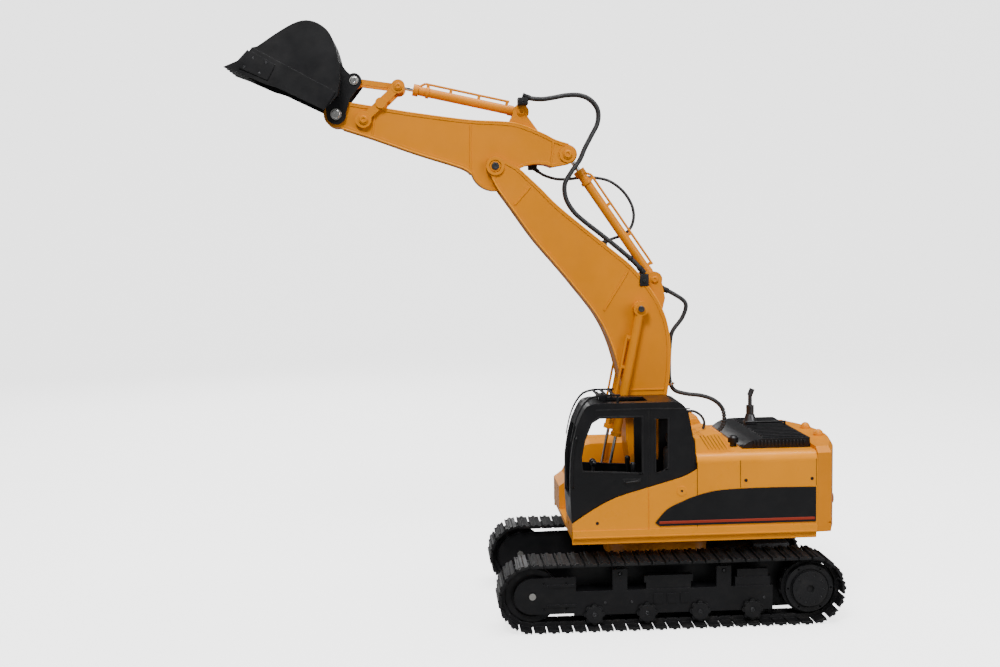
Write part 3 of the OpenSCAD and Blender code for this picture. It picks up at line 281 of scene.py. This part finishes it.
YELLOW = (0.66, 0.215, 0.0)
PLASTIC_YELLOW = (0.80, 0.275, 0.0)
BLACK = (0.0045, 0.0045, 0.0055)
materials = {
    "yellow_paint": moulded("yellow_paint", YELLOW, 0.36, grain=1500, depth=0.00002, edge_wear_and_highlight=1.3, patch=0.05,
                            shine=0.22),
    "yellow_plastic": moulded("yellow_plastic", PLASTIC_YELLOW, 0.3, depth=0.000015, edge_wear_and_highlight=1.25, patch=0.04,
                              shine=0.25),
    "black_plastic": moulded("black_plastic", BLACK, 0.34, depth=0.00002, edge_wear_and_highlight=3.5, patch=0.2, dust=0.02, coat=0.1),
    "dark_plastic": moulded("dark_plastic", (0.007, 0.007, 0.008), 0.5, depth=0.00004, edge_wear_and_highlight=3.0, patch=0.25,
                            dust=0.05),
    "track_plastic": moulded("track_plastic", (0.008, 0.008, 0.009), 0.46, depth=0.00006, edge_wear_and_highlight=3.4, patch=0.3,
                             dust=0.09),
    "black_paint": moulded("black_paint", (0.0055, 0.0055, 0.0065), 0.4, grain=1200, edge_wear_and_highlight=3.2, patch=0.25,
                           dust=0.03),
    "steel": turned("steel", (0.62, 0.61, 0.58), 0.3),
    "rod_chrome": turned("rod_chrome", (0.80, 0.80, 0.80), 0.16, scale=2600),
    "dark_metal": turned("dark_metal", (0.10, 0.10, 0.105), 0.42),
    "hose_rubber": hose_rubber("hose_rubber", (0.012, 0.012, 0.013)),
    "board_green": circuit("board_green"),
    "battery_wrap": moulded("battery_wrap", (0.03, 0.10, 0.32), 0.3, grain=700, coat=0.5),
}
vinyl = seat_vinyl("seat_vinyl", (0.014, 0.014, 0.015))
clear_lens = lens("clear_lens", (0.85, 0.87, 0.9))
red_lens = lens("red_lens", (0.42, 0.015, 0.012))
red_stripe = moulded("red_stripe", (0.28, 0.028, 0.012), 0.34, edge_wear_and_highlight=1.2, patch=0.05)
bright = turned("bright_screw", (0.82, 0.82, 0.80), 0.22)
PAINT, PLASTIC, METAL = (materials[name] for name in ("yellow_paint", "yellow_plastic", "dark_metal"))
TRIM, GLOSS = materials["dark_plastic"], materials["black_plastic"]
for part in frame["record"]["subparts"]:
    mesh = nodes[part["node"]].data
    mesh.materials.clear()
    mesh.materials.append(materials[part["material_slot"]])


# ---- mesh helpers ----------------------------------------------------------------------

def piece(name, verts, faces, material, body=None, slot=None):
    """A new smooth-shaded object with a material, riding on a body where given. The slot argument is not used."""
    mesh = bpy.data.meshes.new(name)
    mesh.from_pydata([tuple(v) for v in verts], [], faces)
    mesh.update()
    made = bmesh.new()
    made.from_mesh(mesh)
    bmesh.ops.recalc_face_normals(made, faces=made.faces)
    made.to_mesh(mesh)
    made.free()
    for polygon in mesh.polygons:
        polygon.use_smooth = True
    mesh.set_sharp_from_angle(angle=math.radians(38))
    if material:
        mesh.materials.append(material)
    obj = bpy.data.objects.new(name, mesh)
    bpy.context.scene.collection.objects.link(obj)
    if body:
        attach(obj, body)
    return obj


def axes_along(axis):
    w = Vector(axis).normalized()
    u = w.orthogonal().normalized()
    return u, w.cross(u), w


def rings_to_faces(rings, sides):
    """The faces of a closed body whose vertices lie in rings."""
    faces = [(i * sides + k, i * sides + (k + 1) % sides, (i + 1) * sides + (k + 1) % sides, (i + 1) * sides + k)
             for i in range(rings - 1) for k in range(sides)]
    return faces + [tuple(range(sides)), tuple((rings - 1) * sides + k for k in range(sides))]


def turned_shape(place, axis, profile, sides=36, hexagon_from=None):
    """Vertices and faces of a profile of (radius, height) in millimetres turned about axis; from the ring
    hexagon_from on, the rings are hexagons, which makes a socket."""
    u, v, w = axes_along(axis)
    verts = []
    for i, (radius, height) in enumerate(profile):
        for k in range(sides):
            a = 2 * math.pi * k / sides
            r = radius * MM
            if hexagon_from is not None and i >= hexagon_from:
                r *= math.cos(math.pi / 6) / math.cos((a % (math.pi / 3)) - math.pi / 6)
            verts.append(place + u * (r * math.cos(a)) + v * (r * math.sin(a)) + w * (height * MM))
    return verts, rings_to_faces(len(profile), sides)


def joined(shapes):
    """One mesh from several (vertices, faces)."""
    verts, faces = [], []
    for some_verts, some_faces in shapes:
        base = len(verts)
        verts += some_verts
        faces += [tuple(base + i for i in face) for face in some_faces]
    return verts, faces


def socket_screw(place, side, r, h):
    """A cap screw's head with a chamfer and a hexagon socket, standing on a face at y; side 1 looks to the left."""
    profile = [(r, -0.3), (r, h - 0.15 * r), (r * 0.86, h), (r * 0.5, h), (r * 0.5, h * 0.3), (0.01, h * 0.3)]
    return turned_shape(place, (0, side, 0), profile, 36, hexagon_from=3)


def smooth_path(points, steps=6):
    """A Catmull-Rom curve through the points."""
    path = []
    for i in range(len(points) - 1):
        a, b, c, d = (points[min(max(i + k, 0), len(points) - 1)] for k in (-1, 0, 1, 2))
        for k in range(steps):
            t = k / steps
            path.append(0.5 * (2 * b + (c - a) * t + (2 * a - 5 * b + 4 * c - d) * t * t
                               + (3 * b - a - 3 * c + d) * t ** 3))
    return path + [points[-1]]


def tube(path, radius, sides=14):
    """A tube along a path; radius is a number of millimetres or a function of the distance along it, in millimetres."""
    frames, along, reached = [], [], 0.0
    normal = None
    for i, p in enumerate(path):
        tangent = (path[min(i + 1, len(path) - 1)] - path[max(i - 1, 0)]).normalized()
        normal = tangent.orthogonal() if normal is None else normal - tangent * normal.dot(tangent)
        normal.normalize()
        frames.append((normal.copy(), tangent.cross(normal)))
        reached += (p - path[i - 1]).length / MM if i else 0.0
        along.append(reached)
    verts = []
    for p, (u, v), s in zip(path, frames, along):
        r = (radius(s) if callable(radius) else radius) * MM
        verts += [p + u * (r * math.cos(2 * math.pi * k / sides)) + v * (r * math.sin(2 * math.pi * k / sides))
                  for k in range(sides)]
    return verts, rings_to_faces(len(path), sides)


def resampled(path, step):
    """The same path with points about step millimetres apart."""
    length = sum((b - a).length for a, b in zip(path, path[1:]))
    count = max(2, round(length / MM / step))
    out, i, passed = [path[0]], 0, 0.0
    for k in range(1, count):
        goal = length * k / count
        while passed + (path[i + 1] - path[i]).length < goal:
            passed += (path[i + 1] - path[i]).length
            i += 1
        out.append(path[i].lerp(path[i + 1], (goal - passed) / (path[i + 1] - path[i]).length))
    return out + [path[-1]]


def soft_box(lo, hi, r, segments=3):
    """A box with rounded edges, corners given as points."""
    shape = bmesh.new()
    bmesh.ops.create_cube(shape, size=1)
    for vert in shape.verts:
        vert.co = Vector((lo[i] + (vert.co[i] + 0.5) * (hi[i] - lo[i])) for i in range(3))
    bmesh.ops.bevel(shape, geom=shape.edges[:], offset=r * MM, segments=segments, profile=0.5, affect="EDGES")
    shape.verts.index_update()
    result = [v.co.copy() for v in shape.verts], [tuple(v.index for v in f.verts) for f in shape.faces]
    shape.free()
    return result


# ---- backdrop --------------------------------------------------------------------------

REACH, BEND_START, BEND_R = 7.0, -1.9, 1.6
sweep = [(REACH, 0.0), (BEND_START, 0.0)]
sweep += [(BEND_START - BEND_R * math.sin(a), BEND_R - BEND_R * math.cos(a))
          for a in (math.radians(6 * k) for k in range(1, 16))]
sweep.append((BEND_START - BEND_R, REACH))
floor = piece("floor", [(x, y, z) for y, z in sweep for x in (-REACH, REACH)],
              [(2 * i, 2 * i + 1, 2 * i + 3, 2 * i + 2) for i in range(len(sweep) - 1)], None)
paper = Shader("floor_paper")
ray = paper.add("ShaderNodeLightPath")
white = paper.mix(paper.ramp(paper.noise(3), 0.3, 0.7), (0.86, 0.86, 0.86), (0.90, 0.90, 0.90))
paper.link(paper.mix(ray.outputs["Is Camera Ray"], (0.22, 0.22, 0.22), white), paper.bsdf.inputs["Base Color"])
paper.bsdf.inputs["Roughness"].default_value = 0.65
paper.bsdf.inputs["Emission Color"].default_value = (1, 1, 1, 1)
paper.link(paper.ramp(ray.outputs["Is Camera Ray"], 0.0, 1.0, 0.03, 2.4), paper.bsdf.inputs["Emission Strength"])
floor.data.materials.append(paper.mat)


# ---- hoses -----------------------------------------------------------------------------

STICK_ROUTE = [(122, 479), (114, 476.6), (104, 475.8), (94, 477), (82, 479), (70, 479), (60, 475), (53, 466),
               (53, 454), (59, 442), (65, 431), (70, 420), (78, 409), (84, 398), (83, 385), (76, 373), (66, 363.6),
               (52, 352.5), (36, 339.5), (20, 325.5), (11, 315)]
LOOP_ROUTE = [(110, 414), (102, 408), (90, 404), (78, 403.6), (65, 405), (52, 404.4), (39, 401), (27, 392), (19, 380),
              (16.5, 368.5), (19, 358), (26, 351), (36, 347.4), (45, 344)]
BOOM_ROUTE = [(-8, 300), (-20, 294), (-31, 285), (-28, 272), (-18, 258), (-15.6, 242), (-15, 226), (-15.6, 212),
              (-20, 202.6), (-32, 198.6), (-46, 196.6), (-58, 192), (-66, 184), (-68, 173), (-65, 165), (-58, 160.5),
              (-48, 159.6), (-38.2, 159.6)]
CAB_LOOP = [(-17.5, 188), (-28, 189), (-35.5, 184.5), (-38.5, 178), (-37.2, 172.2)]


def hose(name, route, y, radius, node, ends, profile=None):
    """A hose along its route. ends is one body, or (first body, second body, start, end), whose entries are not used:
    such a hose is fixed in place.
    """
    path = resampled(smooth_path([at(x, y, z) for x, z in route]), 0.7)
    verts, faces = tube(path, profile or radius, 16)
    obj = piece(name, verts, faces, materials["hose_rubber"], slot="hose_rubber")
    if isinstance(ends, str):
        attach(obj, ends)
    else:
        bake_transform(obj)
    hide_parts(node)
    return path


over_elbow = ("stick", "boom", (102, 0, 478), (70, 0, 370))
routes = {}
for side, y in (("outer", 15.8), ("inner", 11.4)):
    routes[side] = hose(f"elbow_hose_{side}", STICK_ROUTE, y, 2.0, "stick_hoses", over_elbow)
routes["loop"] = hose("loop_hose_tube", LOOP_ROUTE, -8, 1.4, "loop_hose",
                      ("stick", "boom", (104, 0, 412), (30, 0, 396)))


def corrugated(s):
    """The boom hose is smooth at the top and ribbed over its last third."""
    return 2.0 if s < 168 else 2.0 + 0.28 * (1 if s % 2.8 < 1.4 else -1)


routes["boom"] = hose("boom_hose_tube", BOOM_ROUTE, 0, 2.0, "boom_hose",
                      ("boom", "house", (-16, 0, 228), (-62, 0, 164)), corrugated)
hose("cab_hose_tube", CAB_LOOP, 45, 1.2, "house_hose", "house")


def ferrule(path, start, r, length):
    """A crimped sleeve round a hose near one of its ends: two collars and a ribbed middle."""
    points = path if start else path[::-1]
    axis = (points[6] - points[0]).normalized()
    profile = [(r + 0.05, 0.05), (r + 0.9, 0.1), (r + 0.9, 1.2), (r + 0.4, 1.5)]
    for k in range(int((length - 3) / 0.8)):
        foot = 1.6 + 0.8 * k
        profile += [(r + 0.4, foot), (r + 0.62, foot + 0.2), (r + 0.62, foot + 0.5), (r + 0.4, foot + 0.7)]
    profile += [(r + 0.7, length - 0.6), (r + 0.5, length), (r + 0.05, length)]
    return turned_shape(points[0], axis, profile, 24)


def clamp(path, share, r, width=2.6):
    """A clamp band with a small screw lug round a hose at a share of its length."""
    i = int(share * (len(path) - 2))
    axis = (path[i + 1] - path[i]).normalized()
    u, v, w = axes_along(axis)
    band = turned_shape(path[i], axis, [(r + 0.1, 0), (r + 0.55, 0.1), (r + 0.55, width - 0.1), (r + 0.1, width)], 28)
    lug = turned_shape(path[i] + v * ((r + 1.0) * MM) + w * (0.5 * width * MM) - u * (1.2 * MM), u,
                       [(0.2, 0), (0.9, 0.1), (0.9, 2.3), (0.2, 2.4)], 14)
    return joined([band, lug])


for name, r, length, first, last in (("outer", 2.0, 7, "stick", "boom"), ("inner", 2.0, 7, "stick", "boom"),
                                     ("loop", 1.4, 5, "stick", "boom"), ("boom", 2.1, 7, "boom", "house")):
    piece(f"{name}_fitting_start", *ferrule(routes[name], True, r, length), TRIM, first)
    piece(f"{name}_fitting_end", *ferrule(routes[name], False, r, length), TRIM, last)
piece("boom_hose_clamp", *clamp(routes["boom"], 0.50, 2.0), bright, "boom")
for name in ("outer", "inner"):
    piece(f"{name}_hose_clamp", *clamp(routes[name], 0.93, 2.0, 2.0), TRIM, "boom")

# manifold blocks that the hoses screw into
for name, body, low, high in (
        ("elbow_hose_block", "stick", (117, 5.8, 470.6), (126.4, 18.2, 477.4)),
        ("boom_top_block", "boom", (7, 8.6, 303), (15.6, 18.2, 314.2)),
        ("loop_end_block", "boom", (42.4, -11.2, 336), (49.6, -4.8, 345.4)),
        ("loop_start_block", "stick", (107.6, -11.2, 412.4), (116, -4.8, 419)),
        ("boom_hose_block", "boom", (-9.4, -5, 292), (-2.4, 5, 301.4))):
    screw = socket_screw(at((low[0] + high[0]) / 2, max(low[1], high[1], key=abs), (low[2] + high[2]) / 2 - 1),
                         1 if high[1] > 0 else -1, 1.5, 0.9)
    piece(name, *joined([soft_box(at(*low), at(*high), 0.7), screw]), TRIM, body)


# ---- screws and pin caps ---------------------------------------------------------------

def both(x, z, y, r, h):
    """A cap screw on each side of the machine."""
    return joined([socket_screw(at(x, side * y, z), side, r, h) for side in (1, -1)])


for name, x, z, y, r, h, material, body in (
        ("elbow_screws", 148, 415.5, 18.0, 3.6, 0.8, METAL, "boom"),
        ("boom_cylinder_screws", 16, 282.5, 22.5 + 5.6, 3.0, 1.0, METAL, "boom"),
        ("stick_cylinder_base_screws", 0, 308.5, 9.2, 2.9, 0.9, PAINT, "boom"),
        ("stick_rear_screws", 81, 425.5, 15.6, 3.6, 1.0, PAINT, "stick"),
        ("bucket_cylinder_base_screws", 123, 465, 9.2, 2.9, 0.9, PAINT, "stick"),
        ("rocker_foot_screws", 267, 459, 18.4, 3.4, 1.0, PAINT, "stick"),
        ("rocker_top_screws", 235, 488.5, 18.4, 2.8, 0.9, PAINT, "rocker"),
        ("bucket_pin_screws", 291.5, 464, 18.2, 4.0, 1.1, bright, "bucket"),
        ("bucket_ear_screws", 274.5, 494, 18.0, 3.2, 1.0, bright, "bucket"),
        ("boom_foot_screws", 12, 138, 21.8, 4.3, 1.1, PAINT, "house"),
        ("boom_cylinder_foot_screws", 50, 116, 27.5, 2.9, 0.9, PAINT, "house")):
    piece(name, *both(x, z, y, r, h), material, body)
CUTTER_BOLTS = ((361, 512), (369, 504.5), (350, 508), (356, 498.5))
SHELL_SCREWS = ((-10, 123), (66, 96), (-128, 131), (-68, 131))
piece("bucket_side_bolts", *joined([both(x, z, 38.6, 1.15, 0.6) for x, z in CUTTER_BOLTS]), METAL, "bucket")
piece("shell_side_screws", *joined([both(x, z, 80.9, 1.5, 0.5) for x, z in SHELL_SCREWS]), TRIM, "house")


# ---- trim ------------------------------------------------------------------------------

def strip(points, y, t, width, both_sides=True):
    """A raised strip of rectangular section along side-view points, on the faces y millimetres out."""
    shapes = []
    for side in ((1, -1) if both_sides else (1,)):
        verts, faces = [], []
        for i, (x, z) in enumerate(points):
            ax, az = points[max(i - 1, 0)]
            bx, bz = points[min(i + 1, len(points) - 1)]
            n = math.hypot(bx - ax, bz - az)
            nx, nz = -(bz - az) / n * width / 2, (bx - ax) / n * width / 2
            verts += [at(x + nx, side * y, z + nz), at(x + nx * 0.7, side * (y + t), z + nz * 0.7),
                      at(x - nx * 0.7, side * (y + t), z - nz * 0.7), at(x - nx, side * y, z - nz)]
        shapes.append((verts, rings_to_faces(len(points), 4)))
    return joined(shapes)


# raised strips across the flanks of stick and boom
STICK_FACE, BOOM_FACE = 12.95, 16.75
piece("stick_side_strips", *joined([strip(line, STICK_FACE, 0.75, width) for line, width in (
    ([(170.5, 413.4), (169.6, 453.4)], 2.0), ([(96, 416.6), (94, 437)], 2.0),
    ([(259, 445.6), (256.6, 466.6)], 1.8))]), PAINT, "stick")
piece("boom_side_strips", *joined([strip(line, BOOM_FACE, 0.75, 2.0) for line in (
    [(-6.6, 206), (28, 206)], [(26, 317.6), (49, 281)], [(116, 396.4), (130.6, 380)])]), PAINT, "boom")
# rolled beads along the edges of boom and stick, in the lighter plastic yellow as a painted highlight on the rims
BOOM_REAR = [(128, 414), (108, 395), (89, 376), (48, 342), (23, 321), (5, 299), (-5.5, 280), (-10.8, 262), (-12.6, 242),
             (-11.4, 219), (-8.8, 200), (-5.6, 172), (-2, 145)]
BOOM_FRONT = [(28.6, 158), (29.4, 182), (33, 215), (42, 249), (55, 276), (77, 305), (90, 321), (113, 348.5), (133, 377),
              (145, 394), (151, 405)]
STICK_TOP = [(280, 474.4), (254, 470), (219.6, 464.2), (171, 457.5), (131, 454.5), (106, 445.5), (92, 438.4),
             (80, 434.6)]
STICK_LOW = [(169.8, 409), (179, 415.2), (220.4, 428.8), (260, 443.1), (287, 452)]


def beads(curves, y, r):
    """Round beads of radius r along side-view curves, on both sides at y millimetres."""
    return joined([tube(resampled(smooth_path([at(x, side * y, z) for x, z in curve]), 3), r, 10)
                   for curve in curves for side in (1, -1)])


# the lighter yellow on the beads is a painted highlight along the edges
piece("boom_edge_beads", *beads([BOOM_REAR, BOOM_FRONT], 17.0, 0.85), PLASTIC, "boom")
piece("stick_edge_beads", *beads([STICK_TOP, STICK_LOW], 13.2, 0.8), PLASTIC, "stick")
piece("side_stripes", *strip([(-130.4, 95), (10.6, 95)], 81.9, 0.35, 2.8), red_stripe, "house")
piece("skirt_lip", *strip([(-132, 83.2), (87.6, 83.2)], 81.6, 0.5, 1.4), PLASTIC, "house")

# ribs along the sides of the engine cover
COVER_SIDE = 60.4
ribs = [soft_box(at(x, side * COVER_SIDE - 0.5, 157.4), at(x + 1.7, side * COVER_SIDE + 0.5, 162.9), 0.3, 2)
        for side in (1, -1) for x in (-128 + 3.3 * k for k in range(15))]
piece("engine_cover_ribs", *joined(ribs), GLOSS, "house")

# painted shade: dark brown strips in the gaps between the body panels, and dark lines for the shade in the louvres on
# the hood's shoulders
painted_groove_shade = moulded("painted_groove_shade_mat", (0.13, 0.045, 0.0), 0.6, edge_wear_and_highlight=1.1, patch=0.1)
SHADED_GAP_LINES = ([(-24, 89), (-24, 112)], [(-24, 118.8), (-24, 148)], [(-63, 124.6), (-63, 149)],
        [(-131.9, 124.4), (-131.9, 149)])
piece("panel_gap_shades", *joined([strip(line, 80.9, 0.12, 0.8) for line in SHADED_GAP_LINES]), painted_groove_shade, "house")


def louvre_shade_line(x, side):
    """One slanting line of painted shade down the side of the hood's raised part, thinner towards its foot."""
    path = [at(x - 8 * t, side * (71.3 + 3.1 * t), 170.6 - 12.6 * t) for t in (0, 0.33, 0.67, 1.0)]
    return tube(path, lambda reached: 0.42 - 0.02 * reached, 8)


piece("hood_louvre_shades", *joined([louvre_shade_line(-28.5 - 3.2 * k, side) for k in range(6) for side in (1, -1)]), painted_groove_shade, "house")

# cab: window seals, door edge, handle, grab bar, wiper and lamps
CAB_SIDE = 78.6
SIDE_WINDOW = [(24.6, 139), (51, 140.8), (78.6, 142.4), (80, 155), (77, 170), (70.5, 186), (63, 190.6), (44, 190.6),
               (24.6, 190.6), (24.6, 165), (24.6, 139), (28, 139.2)]
REAR_WINDOW = [(1.8, 143), (13.2, 139), (13.2, 188.6), (1.2, 188.6), (1.8, 143), (4, 142.2)]
piece("window_seals", *joined([strip(SIDE_WINDOW, CAB_SIDE, 0.55, 2.2, False),
                               strip(REAR_WINDOW, CAB_SIDE, 0.55, 1.8, False)]), TRIM, "house")
piece("door_seam", *strip([(19, 130), (19, 197)], CAB_SIDE, 0.4, 0.9, False), TRIM, "house")
piece("cab_trim_line", *strip([(-18, 196.6), (20, 197.4), (66, 197)], CAB_SIDE, 0.5, 1.2, False), TRIM, "house")


def bar(points, r):
    """A round bar along a smooth curve through points in millimetres."""
    return tube(resampled(smooth_path([at(*p) for p in points]), 0.9), r, 12)


HANDLE = [(28, 78.4, 133), (28.4, 81, 133), (31, 81.6, 133), (38, 81.6, 132.2), (40.6, 81, 132), (41, 78.4, 132)]
GRAB_BAR = [(86.6, 78, 128), (87.6, 81, 130), (88, 81.4, 136), (87.4, 81.4, 156), (85.6, 81.2, 168), (84, 80.6, 173),
            (82.4, 78, 174)]
WIPER_ARM = [(89.4, 60, 124), (91, 59, 128), (91.4, 53, 146), (90.6, 50, 158)]
WIPER_BLADE = [(91.2, 51, 140), (90.4, 50, 158), (88.6, 49.4, 170)]
handle_plate = soft_box(at(26.4, 78.5, 130.6), at(42.6, 79.1, 135), 0.25, 2)
piece("door_handle", *joined([bar(HANDLE, 0.8), handle_plate]), TRIM, "house")
piece("grab_bar", *bar(GRAB_BAR, 0.9), GLOSS, "house")
piece("wiper", *joined([bar(WIPER_ARM, 0.5), bar(WIPER_BLADE, 0.45)]), TRIM, "house")

ROOF_LENS = [(2.5, -1), (2.6, 0.2), (2.2, 0.6), (1.2, 1.0), (0.05, 1.1)]
ROOF_RIM = [(2.4, -1), (3.2, -0.8), (3.2, 0.5), (2.6, 0.7), (2.5, 0.1)]
TAIL_LENS = [(4.4, -1.2), (4.4, 0.3), (3.6, 0.8), (1.8, 1.1), (0.05, 1.2)]
TAIL_R, TAIL_LAMP_ANGLE, TAIL_LAMP_Z = 165.2, 15.5, 104
roof_places = [at(60.9, y, 206.6) for y in (48, 63.7)]
for name, profile, material in (("roof_lamps", ROOF_LENS, clear_lens), ("roof_lamp_rims", ROOF_RIM, TRIM)):
    piece(name, *joined([turned_shape(place, (1, 0, 0), profile, 28) for place in roof_places]), material, "house")
tail = []
for side in (1, -1):
    a = math.radians(180 - side * TAIL_LAMP_ANGLE)
    centre = at(TAIL_R * math.cos(a), TAIL_R * math.sin(a), TAIL_LAMP_Z)
    tail.append(turned_shape(centre, (math.cos(a), math.sin(a), 0), TAIL_LENS, 32))
piece("tail_lamps", *joined(tail), red_lens, "house")


def cushion_shape(low, high, r, axis, channels=(), crown=1.1, pull=0.7, cuts=26):
    """A padded form between two points in millimetres: rounded edges, both faces across axis crowned, the sides
    pulled in between the corners, and channels sewn across it at the given heights from -1 to 1."""
    across, along = [i for i in range(3) if i != axis]
    middle = [(a + b) / 2 for a, b in zip(low, high)]
    half = [(b - a) / 2 for a, b in zip(low, high)]
    half[axis] -= crown
    shape = bmesh.new()
    bmesh.ops.create_cube(shape, size=2)
    bmesh.ops.subdivide_edges(shape, edges=shape.edges[:], cuts=cuts, use_grid_fill=True)
    for vert in shape.verts:
        u = [math.sin(c * math.pi / 2) for c in vert.co]
        p = Vector([h * k for h, k in zip(half, u)])
        core = Vector([max(r - h, min(h - r, k)) for h, k in zip(half, p)])
        p = core + (p - core).normalized() * r
        hollow = sum(math.exp(-((u[along] - c) * half[along] / 0.9) ** 2) for c in channels)
        p[axis] += u[axis] * (crown * (1 - u[across] ** 2) * (1 - u[along] ** 2) - 0.9 * hollow * (1 - u[across] ** 4))
        p[across] -= math.copysign(pull, u[across]) * abs(u[across]) ** 3 * (1 - u[along] ** 2)
        p[along] -= math.copysign(pull, u[along]) * abs(u[along]) ** 3 * (1 - u[across] ** 2)
        vert.co = at(*(m + k for m, k in zip(middle, p)))
    shape.verts.index_update()
    result = [v.co.copy() for v in shape.verts], [tuple(v.index for v in f.verts) for f in shape.faces]
    shape.free()
    return result


# the seat: crowned cushions with sewn channels on a moulded pan, with arm rests and a head rest
SEAT_Y = 43  # the seat's side towards the boom; it is 24 wide
seat = [("seat_cushion", (-2, SEAT_Y, 112.4), (30, SEAT_Y + 24, 121.6), 3.0, 2, ()),
        ("seat_back_cushion", (-8, SEAT_Y + 0.4, 122), (0.8, SEAT_Y + 23.6, 158), 3.2, 0, (-0.36, 0.0, 0.36)),
        ("head_rest", (-8.8, SEAT_Y + 6, 160.6), (-1.2, SEAT_Y + 18, 172), 2.6, 0, ())]
for name, low, high, r, axis, channels in seat:
    cushion = piece(name, *cushion_shape(low, high, r, axis, channels), vinyl, "house")
frame_bits = [soft_box(at(0, SEAT_Y + 2, 86.6), at(26, SEAT_Y + 22, 112.8), 1.5),
              soft_box(at(-9.2, SEAT_Y + 1.4, 117), at(-5.4, SEAT_Y + 22.6, 156), 1.6)]
frame_bits += [bar([(-5.4, y, 156), (-5.2, y, 162)], 0.9) for y in (SEAT_Y + 9, SEAT_Y + 15)]
ARM_REST_Y = (SEAT_Y - 6, SEAT_Y + 25)
frame_bits += [soft_box(at(2, y, 86.8), at(36, y + 5, 120.6), 1.4) for y in ARM_REST_Y]
seat_frame = piece("seat_frame", *joined(frame_bits), TRIM, "house")
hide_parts("cab_seat")
for k, y in enumerate(ARM_REST_Y):
    pad = cushion_shape((1.6, y - 0.3, 120.0), (30, y + 5.3, 124.8), 1.5, 2, (), 0.5, 0.3, 16)
    rest = piece(f"arm_rest_{k + 1}", *pad, vinyl, "house")
BOOT = [(2.9, 0), (3.1, 0.7), (2.2, 1.3), (2.5, 1.9), (1.8, 2.6), (2.0, 3.2), (1.3, 4.2)]
piece("lever_boots", *joined([turned_shape(at(32, y, 124), (0, 0, 1), BOOT, 24) for y in (39.5, 70.5)]), vinyl,
      "house")

# chassis: screws of the battery door, wheel bolts and frame bolts
DOOR_SCREW = [(1.1, -1.6), (2.1, 1.4), (2.0, 2.0), (0.5, 2.0), (0.4, 1.2), (0.01, 1.2)]
piece("battery_door_screws", *joined([turned_shape(at(x, y, 79), (0, 0, -1), DOOR_SCREW, 24)
                                      for x in (-123, -83) for y in (-25, 25)]), bright, "house")
SPROCKET_X, SPROCKET_Z, BOLT_RING = -125, 31.5, 12.6
ROLLER_X, ROLLER_Z = (70, 22.5, -25.5, -73), 14
FRAME_BOLTS = ((46.5, 50), (-47.5, 50), (-84, 24), (36, 24), (60, 24))
SPROCKET_FACE, ROLLER_FACE, FRAME_FACE = 85.8, 84.6, 82.5
for side, name in ((1, "left"), (-1, "right")):
    bolts = [socket_screw(at(SPROCKET_X + BOLT_RING * math.cos(a), side * SPROCKET_FACE,
                             SPROCKET_Z + BOLT_RING * math.sin(a)), side, 0.95, 1.5)
             for a in (math.radians(36 * k) for k in range(10))]
    piece(f"sprocket_{name}_bolts", *joined(bolts), METAL, f"sprocket_{name}")
    for k, x in enumerate(ROLLER_X):
        roller = f"roller_{name}_{k + 1}"
        piece(f"{roller}_cap", *socket_screw(at(x, side * ROLLER_FACE, ROLLER_Z), side, 2.2, 1.6), METAL, roller)
    bolts = [socket_screw(at(x, side * FRAME_FACE, z), side, 1.2, 0.8) for x, z in FRAME_BOLTS]
    piece(f"frame_{name}_bolts", *joined(bolts), METAL, "undercarriage")

# slightly rounded edges on the large CAD shells
for name, width, segments in (("counterweight", 0.0012, 3), ("boom_bracket", 0.0003, 2), ("bucket", 0.0003, 2),
                              ("boom", 0.0003, 2), ("stick", 0.0003, 2)):
    bevel = nodes[name].modifiers.new("soft_edges", "BEVEL")
    bevel.width = width
    bevel.segments = segments
    bevel.limit_method = "ANGLE"
    bevel.angle_limit = math.radians(35)
